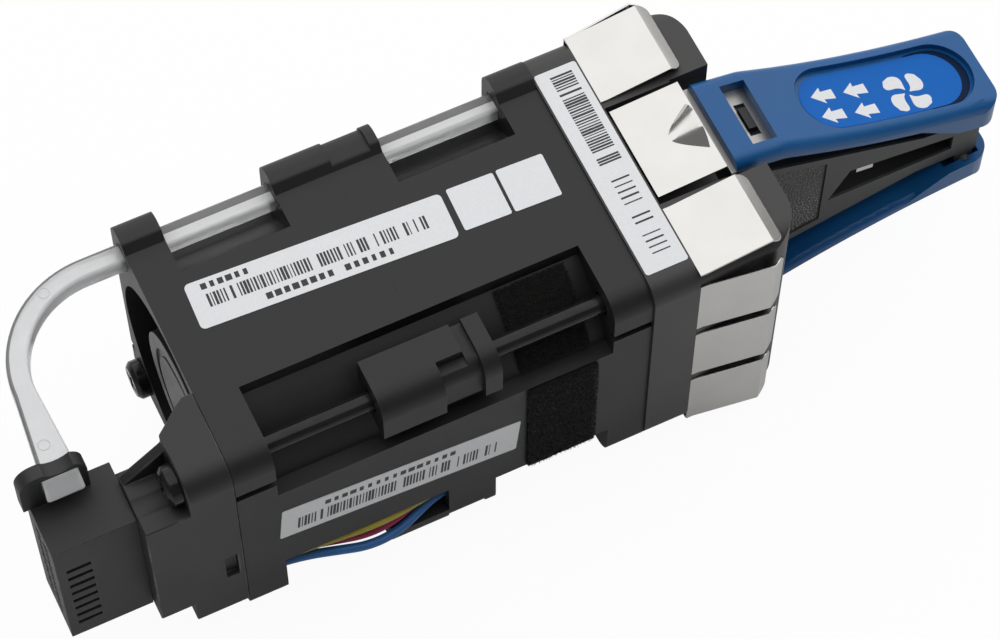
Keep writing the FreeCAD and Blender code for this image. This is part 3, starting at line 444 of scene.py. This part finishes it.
pin_frost = moulded_plastic(
    "pin_frost", dark=(0.5, 0.505, 0.51, 1), pale=(0.62, 0.625, 0.63, 1),
    rough=0.3, grain=0.2 * mm, depth=0.005 * mm)
pin_mark_places = [(-19.5, -5.0), (-11.3, 15.2)]
pin_mark_points = [(x * mm, y * mm, pipe_top) for x, y in pin_mark_places]
pin_marks = point_cloud("pipe_pin_marks", pin_mark_points, pin_frost)
grown(pin_marks, pin_mark_tree(), {"Radius": 0.75 * mm, "Rim": 0.045 * mm, "Material": pin_frost})
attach(pin_marks, "frame")

# Connector bracket and blind-mate connector: a moulded corner bracket screwed on behind the rear
# flange, and the slotted housing that seats in it with its gold contacts.
bracket_black = moulded_plastic(
    "bracket_black", dark=(0.011, 0.011, 0.0115, 1), pale=(0.018, 0.018, 0.0185, 1),
    rough=0.4, grain=0.2 * mm, depth=0.02 * mm)
housing_black = moulded_plastic(
    "housing_black", dark=(0.012, 0.012, 0.0125, 1), pale=(0.019, 0.019, 0.0195, 1),
    rough=0.44, grain=0.16 * mm, depth=0.015 * mm)
dressed("connector_bracket", bracket_black, edge=0.2 * mm)
dressed("connector_housing", housing_black, edge=0.14 * mm)
contact_gold = ground_metal("contact_gold", (0.75, 0.55, 0.24, 1), rough=0.2, stretch=(1, 5, 5))
painted("connector_contacts", contact_gold)

# Long screws: two of blackened steel, with a cross recess. They go in from the rear, through both
# frames and into the bezel.


def blackened_steel():
    """Black oxide under oil: dark, glossy, with a few rubbed spots."""
    material, shader, place = new_finish(
        "blackened_steel", {"Metallic": 0.35, "Specular IOR Level": 0.28})
    rubbed_spots_and_edge_highlight = place.stretched(0.25, 1, 1).noise(0.9 * mm, 4.0)
    rubbed_spots_and_edge_highlight.between((0.004, 0.004, 0.0045, 1), (0.03, 0.03, 0.031, 1)).feed(shader, "Base Color")
    (0.08 + 0.2 * rubbed_spots_and_edge_highlight).feed(shader, "Roughness")
    rubbed_spots_and_edge_highlight.relief(0.01 * mm, 0.4).feed(shader, "Normal")
    return material


dressed("long_screws", blackened_steel(), edge=0.1 * mm)

# Leads: four stranded wires in coloured insulation. They leave the bracket, bow out of the near lower
# channel and go in again at the seam.


def darkened(colour, share):
    """The given share of a colour."""
    return tuple(share * part for part in colour[:3]) + (1,)


def insulation(name, colour):
    """Soft extruded insulation with faint streaks along the wire."""
    material, shader, place = new_finish("insulation_" + name, {"Specular IOR Level": 0.4})
    streaks = place.stretched(0.3, 1, 1).noise(0.8 * mm)
    streaks.between(darkened(colour, 0.72), colour).feed(shader, "Base Color")
    (0.34 + 0.16 * streaks).feed(shader, "Roughness")
    streaks.relief(0.02 * mm, 0.5).feed(shader, "Normal")
    return material


lead_colours = {
    "yellow": (0.46, 0.39, 0.045, 1),
    "red": (0.36, 0.016, 0.085, 1),
    "blue": (0.035, 0.17, 0.47, 1),
    "black": (0.012, 0.012, 0.012, 1),
}
for name, colour in lead_colours.items():
    dressed("lead_" + name, insulation(name, colour), edge=0.05 * mm)

# Felt pads: two pieces of black needle felt, cut to size and stuck on the front half, so that the
# module sits quietly in its bay.


def needle_felt():
    """Matted fibre: nearly black, dull, with tufts."""
    material, shader, place = new_finish(
        "needle_felt", {"Specular IOR Level": 0.12, "Sheen Weight": 0.08})
    tufts = place.noise(0.5 * mm, 4.0)
    tufts.between((0.002, 0.002, 0.002, 1), (0.02, 0.0195, 0.0185, 1)).feed(shader, "Base Color")
    (0.86 + 0.1 * tufts).feed(shader, "Roughness")
    tufts.relief(0.2 * mm, 0.9).feed(shader, "Normal")
    return material


def nap_tree():
    """Short leaning fibres on a pad, with the pad itself."""
    tree, given = new_tree("felt_nap", {
        "Geometry": "NodeSocketGeometry", "Density": "NodeSocketFloat", "Length": "NodeSocketFloat",
        "Thickness": "NodeSocketFloat", "Lean": "NodeSocketFloat", "Seed": "NodeSocketInt",
        "Material": "NodeSocketMaterial"})
    pad = given["Geometry"]
    strewn = pad.node("GeometryNodeDistributePointsOnFaces", {}, {
        "Mesh": pad, "Density": given["Density"], "Seed": given["Seed"]})
    turn = Channel(strewn.socket.node.outputs["Rotation"])
    full_turn = 6.28
    lean = pad.node("FunctionNodeRandomValue", {"data_type": "FLOAT_VECTOR"}, {
        0: (-1, -1, 0), 1: (1, 1, full_turn), "Seed": given["Seed"]})
    tilt = lean.node("ShaderNodeVectorMath", {"operation": "SCALE"}, {
        0: lean, "Scale": given["Lean"]})
    aim = turn.node("FunctionNodeRotateRotation", {"rotation_space": "LOCAL"}, {
        "Rotation": turn, "Rotate By": tilt})
    fibre = pad.node("GeometryNodeMeshCone", {"fill_type": "NONE"}, {
        "Vertices": 3, "Radius Top": 0.0, "Radius Bottom": given["Thickness"],
        "Depth": given["Length"]})
    copies = strewn.node("GeometryNodeInstanceOnPoints", {}, {
        "Points": strewn, "Instance": fibre, "Rotation": aim})
    both = copies.node("GeometryNodeJoinGeometry", {}, {"Geometry": copies})
    tree.links.new(pad.socket, both.socket.node.inputs["Geometry"])
    close_tree(tree, both, given["Material"])
    return tree


felt = needle_felt()
felt_nap = nap_tree()
felt_seeds = {"felt_pad_side": 3, "felt_pad_top": 4}
felt_cuts = 14
felt_waver = 0.12 * mm
waver_middle = 0.6
outer_lean = 0.4


def outward_at(node, place):
    """Way out of a pad: straight off the near wall, or away from the fan's axis."""
    if node == "felt_pad_side":
        return Vector((0, -1, 0))
    return Vector((0, place.y, place.z)).normalized()


def felt_block(node):
    """Pad of the solid's size in a fine grid, a little uneven on its outer side, under a nap."""
    mesh, shape = opened_copy(node, node + "_felt")
    bmesh.ops.subdivide_edges(shape, edges=shape.edges, cuts=felt_cuts, use_grid_fill=True)
    draw = random.Random(felt_seeds[node])
    for vertex in shape.verts:
        outward = outward_at(node, vertex.co)
        if vertex.normal.dot(outward) > outer_lean:
            vertex.co += outward * felt_waver * (draw.random() - waver_middle)
    closed_smooth(mesh, shape)
    pad = new_piece(node + "_felt", mesh, felt)
    grown(pad, felt_nap, {
        "Density": 2.2e7, "Length": 0.4 * mm, "Thickness": 0.035 * mm, "Lean": 0.9,
        "Seed": felt_seeds[node], "Material": felt})
    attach(pad, "frame")
    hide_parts(node)


for node in felt_seeds:
    felt_block(node)

# Bezel and grille: the square front moulding in black plastic that closes the duct, and a punched and
# painted sheet that sits on a ledge behind its mouth.
bezel_black = moulded_plastic(
    "bezel_black", dark=(0.027, 0.027, 0.0266, 1), pale=(0.038, 0.038, 0.0373, 1),
    rough=0.36, grain=0.24 * mm, depth=0.02 * mm)
dressed("bezel", bezel_black, edge=0.25 * mm)
grille_paint = moulded_plastic(
    "grille_paint", dark=(0.012, 0.012, 0.012, 1), pale=(0.018, 0.018, 0.018, 1),
    rough=0.4, grain=0.15 * mm, depth=0.01 * mm)
painted("front_grille", grille_paint)

# Shielding fingers and latches: nickel-plated spring sheet, bent round the bezel's nose. The middle
# finger of the top and of the bottom is a latch and carries a nose.


def nickel_plate():
    """Satin nickel: faint rolling lines along the sheet and soft clouds in its tone."""
    material, shader, place = new_finish("nickel_plate", {"Metallic": 1.0})
    clouds = place.noise(5 * mm, 3.0)
    rolled = place.stretched(0.12, 1, 1).noise(0.3 * mm, 3.0)
    clouds.between((0.49, 0.482, 0.463, 1), (0.555, 0.547, 0.528, 1)).feed(shader, "Base Color")
    (0.1 + 0.07 * clouds + 0.05 * rolled).feed(shader, "Roughness")
    rolled.relief(0.002 * mm, 0.15).feed(shader, "Normal")
    return material


nickel = nickel_plate()
sheet_edge = 0.06 * mm
for side in ("top", "bottom", "near", "far"):
    dressed("emi_fingers_" + side, nickel, sheet_edge)
tab_steel = ground_metal("tab_steel", (0.36, 0.355, 0.345, 1), rough=0.34, stretch=(6, 1, 6))
for side in ("top", "bottom"):
    dressed("latch_" + side, nickel, sheet_edge)
    painted("latch_tab_" + side, tab_steel)

# Handle core: the wedge between the levers, moulded in black with a stippled grip patch on each flank
# and a bright spring bar across its window.
core_black = moulded_plastic(
    "core_black", dark=(0.04, 0.04, 0.0392, 1), pale=(0.058, 0.058, 0.0568, 1),
    rough=0.42, grain=0.3 * mm, depth=0.03 * mm)


def colour_so_far(material):
    """Shader of a finish, the colour that it has so far, and the surface's own coordinates."""
    shader = material.node_tree.nodes["Principled BSDF"]
    colour = Channel(shader.inputs["Base Color"].links[0].from_socket)
    return shader, colour, own_coordinates(material)


def painted_shade_inside(material, flank, colour):
    """Painted shade on the unlit inner walls of a moulding: only what lies outside the given half width
    keeps its tone.
    """
    shader, outside, place = colour_so_far(material)
    place.axis(1).unsigned().above(flank).between(colour, outside).feed(shader, "Base Color")


# Painted shade: the core's walls inside its flanks, as seen through its window, are painted near black.
painted_shade_inside(core_black, flank=5.0 * mm, colour=(0.007, 0.007, 0.007, 1))
dressed("handle_core", core_black, edge=0.25 * mm)
painted("spring_bar", nickel)


def stipple_tree():
    """Low domes strewn over a patch, none nearer to another than the given spacing."""
    tree, given = new_tree("stipple", {
        "Geometry": "NodeSocketGeometry", "Spacing": "NodeSocketFloat",
        "Density": "NodeSocketFloat", "Dome": "NodeSocketFloat", "Seed": "NodeSocketInt",
        "Material": "NodeSocketMaterial"})
    patch = given["Geometry"]
    strewn = patch.node("GeometryNodeDistributePointsOnFaces", {"distribute_method": "POISSON"}, {
        "Mesh": patch, "Distance Min": given["Spacing"], "Density Max": given["Density"],
        "Seed": given["Seed"]})
    dome = patch.node("GeometryNodeMeshIcoSphere", {}, {
        "Radius": given["Dome"], "Subdivisions": 1})
    copies = dome.node("GeometryNodeInstanceOnPoints", {}, {"Points": strewn, "Instance": dome})
    close_tree(tree, copies, given["Material"])
    return tree


patch_face = 5.1 * mm
patch_corners = [(81.5, 10.2), (92.8, 6.0), (92.8, -8.2), (81.5, -10.6)]
patch_points = []
for flank in (-1, 1):
    patch_points += [(x * mm, flank * patch_face, z * mm) for x, z in patch_corners]
patch_mesh = bpy.data.meshes.new("core_stipple")
patch_mesh.from_pydata(patch_points, [], [(0, 1, 2, 3), (4, 5, 6, 7)])
# Painted glint: the domes of the black moulding are painted pale grey, standing in for light caught on
# their tops.
stipple_painted_glint = moulded_plastic(
    "stipple_painted_glint", dark=(0.06, 0.06, 0.058, 1), pale=(0.42, 0.42, 0.41, 1),
    rough=0.45, grain=0.5 * mm, depth=0.01 * mm)
stipple = new_piece("core_stipple", patch_mesh, stipple_painted_glint)
grown(stipple, stipple_tree(), {
    "Spacing": 0.42 * mm, "Density": 2e7, "Dome": 0.16 * mm, "Seed": 5, "Material": stipple_painted_glint})
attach(stipple, "frame")

# Squeeze levers: deep blue mouldings that pivot at the handle's nose, with rounded rims and a sunk
# thumb pocket. The upper pocket holds a printed blue sticker, with painted shade round its outer end.
lever_blue = moulded_plastic(
    "lever_blue", dark=(0.003, 0.075, 0.235, 1), pale=(0.005, 0.097, 0.29, 1),
    rough=0.26, grain=0.35 * mm, depth=0.015 * mm, gloss=0.34)


def black_catch(material, middle, half_length, half_width):
    """Black bar in the lever's window: the tab's catch, which shows against the metal."""
    shader, blue, place = colour_so_far(material)
    on_length = 1 - (place.axis(0) - middle).unsigned().above(half_length)
    on_width = 1 - place.axis(1).unsigned().above(half_width)
    (on_length * on_width).between(blue, (0.008, 0.008, 0.009, 1)).feed(shader, "Base Color")


black_catch(lever_blue, middle=82.95 * mm, half_length=1.3 * mm, half_width=2.6 * mm)
for side in ("top", "bottom"):
    dressed("lever_" + side, lever_blue, edge=0.3 * mm, steps=3)


def print_ink(name, colour, rough, gloss=0.45):
    """Printed film: a nearly even colour, with a faint mottle in its tone and gloss."""
    material, shader, place = new_finish(name, {"Specular IOR Level": gloss})
    mottle = place.noise(0.35 * mm, 1.0)
    mottle.between(darkened(colour, 0.9), colour).feed(shader, "Base Color")
    (rough + 0.08 * mottle).feed(shader, "Roughness")
    return material


sticker_blue = print_ink("sticker_blue", (0.002, 0.125, 0.5, 1), rough=0.36, gloss=0.12)
sticker_white = print_ink("sticker_white", (0.8, 0.81, 0.83, 1), rough=0.36, gloss=0.12)
# Painted shade: a dark film laid in the pocket round the sticker's outer end, where the pocket lies in
# shade.
painted_pocket_shade = print_ink("painted_pocket_shade", (0.0015, 0.012, 0.045, 1), rough=0.5, gloss=0.1)
down = Vector((0, 0, -1))
drop = 20 * mm
lay_step = 0.8 * mm


def laid_on_lever(name, outlines, lift, material):
    """Thin film cut to flat outlines and laid on the upper lever from above."""
    shape = bmesh.new()
    for outline in outlines:
        shape.faces.new([shape.verts.new(point) for point in outline])
    xs = [vertex.co.x for vertex in shape.verts]
    cut = min(xs) + lay_step
    while cut < max(xs):
        geometry = shape.verts[:] + shape.edges[:] + shape.faces[:]
        bmesh.ops.bisect_plane(shape, geom=geometry, plane_co=(cut, 0, 0), plane_no=(1, 0, 0))
        cut += lay_step
    lever = frame["nodes"]["lever_top"].data
    corners = [vertex.co for vertex in lever.vertices]
    ground = BVHTree.FromPolygons(corners, [face.vertices[:] for face in lever.polygons])
    for vertex in shape.verts:
        hit = ground.ray_cast(vertex.co - drop * down, down)[0]
        vertex.co = hit - lift * down
    for face in shape.faces:
        if face.normal.dot(down) > 0:
            face.normal_flip()
    mesh = bpy.data.meshes.new(name)
    shape.to_mesh(mesh)
    shape.free()
    film = new_piece(name, mesh, material)
    thick = film.modifiers.new("film", "SOLIDIFY")
    thick.thickness = lift
    thick.offset = -1
    kept_mesh(film)
    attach(film, "lever_top")


def stadium(x0, x1, half, steps=14):
    """Flat outline with round ends, as points at z = 0."""
    points = []
    for centre, start in ((x1 - half, -90), (x0 + half, 90)):
        for i in range(steps + 1):
            angle = math.radians(start + 180 * i / steps)
            points.append((centre + half * math.cos(angle), half * math.sin(angle), 0))
    return points


def arrow(x, y, length, width):
    """Block arrow that points towards the fan."""
    barb = x + 0.52 * length
    neck = x + 0.5 * length
    tail = x + length
    neck_half = 0.24 * width
    tail_half = 0.3 * width
    return [
        (x, y, 0), (barb, y - width / 2, 0), (neck, y - neck_half, 0), (tail, y - tail_half, 0),
        (tail, y + tail_half, 0), (neck, y + neck_half, 0), (barb, y + width / 2, 0)]


def fan_blade(x, y, reach, angle, steps=14):
    """One blade of the pictogram: a leaf that sweeps round and is widest past its middle."""
    root = 0.14
    sweep = 38
    half_spread = 33
    edges = ([], [])
    for i in range(steps + 1):
        out = root + (1 - root) * i / steps
        spread = half_spread * max(math.sin(math.pi * out ** 1.7), 0) ** 0.6
        for edge, side in zip(edges, (-1, 1)):
            turn = math.radians(angle + sweep * out + side * spread)
            edge.append((x + reach * out * math.cos(turn), y + reach * out * math.sin(turn), 0))
    return edges[0] + edges[1][-2::-1]


film_lift = 0.06 * mm
ink_lift = 0.085 * mm
shade_film_lift = 0.02 * mm
film_outline = stadium(91.5 * mm, 116.4 * mm, 4.5 * mm)
shade_film_outline = stadium(106.5 * mm, 117.7 * mm, 4.85 * mm)
arrow_places = [(93.4, 1.1), (98.5, 1.0), (93.3, -2.3), (98.4, -2.5)]
arrows = [arrow(x * mm, y * mm, length=3.6 * mm, width=2.7 * mm) for x, y in arrow_places]
icon_x = 107.6 * mm
icon_y = -1.1 * mm
icon_reach = 3.6 * mm
icon_turn = 8
icon = [fan_blade(icon_x, icon_y, icon_reach, 90 * i + icon_turn) for i in range(4)]
laid_on_lever("lever_sticker", [film_outline], film_lift, sticker_blue)
laid_on_lever("lever_sticker_arrows", arrows, ink_lift, sticker_white)
laid_on_lever("lever_sticker_fan", icon, ink_lift, sticker_white)
# Painted shade: the dark film round the sticker's outer end.
laid_on_lever("lever_pocket_painted_shade", [shade_film_outline], shade_film_lift, painted_pocket_shade)

# Stickers on the frames and the bezel's band: white coated paper with rounded corners, printed with
# plain bars only.
label_paper = print_ink("label_paper", (0.78, 0.795, 0.815, 1), rough=0.34)
label_ink = print_ink("label_ink", (0.012, 0.012, 0.014, 1), rough=0.4)
label_thickness = 0.07 * mm
ink_thickness = 0.012 * mm


def bar_tree():
    """Row of upright bars of uneven width, lying in the XY plane."""
    tree, given = new_tree("printed_bars", {
        "Geometry": "NodeSocketGeometry", "Count": "NodeSocketInt", "Pitch": "NodeSocketFloat",
        "Height": "NodeSocketFloat", "Ink": "NodeSocketFloat", "Thinnest": "NodeSocketFloat",
        "Thickest": "NodeSocketFloat", "Share": "NodeSocketFloat", "Seed": "NodeSocketInt",
        "Material": "NodeSocketMaterial"})
    step = given["Pitch"].node("ShaderNodeCombineXYZ", {}, {"X": given["Pitch"]})
    line = step.node("GeometryNodeMeshLine", {}, {"Count": given["Count"], "Offset": step})
    bar = step.node("GeometryNodeMeshCube", {}, {"Size": (1, 1, 1)})
    width = step.node("FunctionNodeRandomValue", {"data_type": "FLOAT"}, {
        2: given["Thinnest"], 3: given["Thickest"], "Seed": given["Seed"]}, 1)
    size = width.node("ShaderNodeCombineXYZ", {}, {
        "X": width, "Y": given["Height"], "Z": given["Ink"]})
    printed = step.node("FunctionNodeRandomValue", {"data_type": "BOOLEAN"}, {
        "Probability": given["Share"], "Seed": given["Seed"]}, 3)
    copies = line.node("GeometryNodeInstanceOnPoints", {}, {
        "Points": line, "Instance": bar, "Scale": size, "Selection": printed})
    close_tree(tree, copies, given["Material"])
    return tree


printed_bars = bar_tree()


def rounded_card(width, height, corner, steps=5):
    """Flat outline of a sticker about its own middle."""
    points = []
    corners = ((1, -1, -90), (1, 1, 0), (-1, 1, 90), (-1, -1, 180))
    for sx, sy, start in corners:
        for i in range(steps + 1):
            angle = math.radians(start + 90 * i / steps)
            x = sx * (width / 2 - corner) + corner * math.cos(angle)
            y = sy * (height / 2 - corner) + corner * math.sin(angle)
            points.append((x, y, 0))
    return points


def sticker(name, width, height, corner, place, bar_rows):
    """One sticker, in millimetres, set down by a matrix. Each row of bars gives where it starts, the
    count, pitch and height of its bars, the thinnest and the thickest, and the share that is printed."""
    outline = rounded_card(width * mm, height * mm, corner * mm)
    shape = bmesh.new()
    shape.faces.new([shape.verts.new(point) for point in outline])
    raised = bmesh.ops.extrude_face_region(shape, geom=shape.faces[:])["geom"]
    upper = [part for part in raised if isinstance(part, bmesh.types.BMVert)]
    bmesh.ops.translate(shape, verts=upper, vec=(0, 0, label_thickness))
    bmesh.ops.recalc_face_normals(shape, faces=shape.faces)
    mesh = bpy.data.meshes.new(name)
    shape.to_mesh(mesh)
    shape.free()
    mesh.transform(place)
    card = new_piece(name, mesh, label_paper)
    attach(card, "frame")
    rise = label_thickness + ink_thickness / 2
    for number, (x, y, count, pitch, tall, thin, thick, share) in enumerate(bar_rows):
        bars = point_cloud(f"{name}_bars_{number}", [(0, 0, 0)], label_ink)
        grown(bars, printed_bars, {
            "Count": count, "Pitch": pitch * mm, "Height": tall * mm, "Ink": ink_thickness,
            "Thinnest": thin * mm, "Thickest": thick * mm, "Share": share,
            "Seed": number + len(name), "Material": label_ink})
        bars.data.transform(place @ Matrix.Translation((x * mm, y * mm, rise)))
        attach(bars, "frame")


def on_top(x, y, z, turn):
    """Place on an upward face, turned about its middle."""
    turned = Matrix.Rotation(math.radians(turn), 4, "Z")
    return Matrix.Translation((x * mm, y * mm, z * mm)) @ turned


def on_near_side(x, y, z, turn):
    """Place on the near face, upright as seen from outside."""
    upright = Matrix.Rotation(math.radians(90), 4, "X")
    turned = Matrix.Rotation(math.radians(turn), 4, "Z")
    return Matrix.Translation((x * mm, y * mm, z * mm)) @ upright @ turned


frame_top = 20.0
band_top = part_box("bezel")[1].z / mm
sticker("long_sticker", 35.6, 7.0, 0.7, on_top(22.6, 3.1, frame_top, -2.8), [
    (-15.4, 0.2, 66, 0.46, 2.0, 0.12, 0.4, 0.82),
    (-15.4, 2.4, 6, 1.15, 0.9, 0.5, 0.9, 1.0),
    (-8.0, -2.1, 15, 1.2, 0.95, 0.5, 0.95, 0.9),
])
sticker("square_sticker_a", 6.65, 6.65, 0.3, on_top(44.65, 2.4, frame_top, -2), [])
sticker("square_sticker_b", 6.65, 6.75, 0.3, on_top(51.75, 2.2, frame_top, -2), [])
sticker("side_sticker", 34.4, 7.6, 0.3, on_near_side(22.6, -frame_top, -1.5, -5.1), [
    (-14.6, -1.0, 64, 0.46, 2.8, 0.12, 0.4, 0.82),
    (-10.6, 2.0, 17, 1.2, 1.05, 0.5, 0.95, 0.92),
])
sticker("band_sticker", 33.4, 6.1, 0.4, on_top(62.3, -0.4, band_top, -90), [
    (-15.4, 0.4, 36, 0.42, 3.2, 0.14, 0.36, 0.8),
    (2.2, 0.4, 5, 0.95, 2.6, 0.16, 0.3, 1.0),
    (8.2, 0.4, 2, 0.95, 2.6, 0.16, 0.3, 1.0),
    (11.2, 0.4, 4, 0.95, 2.6, 0.16, 0.3, 1.0),
])

# Studio: white table in a pale room, under one large soft box above the far side, with the camera
# where the picture was taken.
floor_level = cad_low.z
table_half = 3.0
table_corners = [(-1, -1), (1, -1), (1, 1), (-1, 1)]
table_points = [(x * table_half, y * table_half, floor_level) for x, y in table_corners]
table_mesh = bpy.data.meshes.new("table_top")
table_mesh.from_pydata(table_points, [], [(0, 1, 2, 3)])


def shown_white(rays, mirrored):
    """How far a surface counts as plain white: to the camera, through clear plastic, and in part in
    mirrors."""
    camera_ray = Channel(rays.outputs["Is Camera Ray"])
    through = Channel(rays.outputs["Is Transmission Ray"])
    return camera_ray + through + mirrored * Channel(rays.outputs["Is Glossy Ray"])


def table_white(mirrored, whiteness):
    """White table that shows only a light shadow of what lies on it."""
    material, shader, _ = new_finish("table_white", {
        "Base Color": (0.93, 0.93, 0.93, 1), "Roughness": 0.8, "Specular IOR Level": 0.1})
    tree = material.node_tree
    seen = shown_white(tree.nodes.new("ShaderNodeLightPath"), mirrored)
    bright = seen.node("ShaderNodeEmission", {}, {"Color": (1, 1, 1, 1), "Strength": 1.0})
    lit = seen.node("ShaderNodeMixShader", {}, {
        0: whiteness * seen, 1: Channel(shader.outputs[0]), 2: bright})
    tree.links.new(lit.socket, tree.nodes["Material Output"].inputs["Surface"])
    return material


table = new_piece("table_top", table_mesh, table_white(mirrored=0.12, whiteness=0.95))

world = bpy.data.worlds.new("white_room")
world.use_nodes = True
scene.world = world
room = world.node_tree
room_fill = 0.11
room_mirrored = 0.16
seen_room = shown_white(room.nodes.new("ShaderNodeLightPath"), room_mirrored)
(room_fill + (1 - room_fill) * seen_room).feed(room.nodes["Background"], "Strength")
room.nodes["Background"].inputs["Color"].default_value = (1, 1, 1, 1)

object_middle = (cad_low + cad_high) / 2
box_way = Vector((0.21, 0.43, 0.876))
box_distance = 0.55
lamp = bpy.data.lights.new("ceiling_box", "AREA")
lamp.shape = "SQUARE"
lamp.size = 1.45
lamp.energy = 9.0
soft_box = bpy.data.objects.new("ceiling_box", lamp)
soft_box.location = object_middle + box_distance * box_way
soft_box.rotation_euler = (-box_way).to_track_quat("-Z", "Y").to_euler()
scene.collection.objects.link(soft_box)

camera_data = bpy.data.cameras.new("camera")
camera_data.sensor_width = 36.0
camera_data.lens = 126.9
camera_data.clip_start = 0.01
camera_data.clip_end = 20.0
camera = bpy.data.objects.new("camera", camera_data)
camera.location = (-53.95 * mm, -206.09 * mm, 416.5 * mm)
camera.rotation_euler = [math.radians(angle) for angle in (28.272, -0.218, -25.619)]
scene.collection.objects.link(camera)
scene.camera = camera
scene.view_settings.view_transform = "Standard"
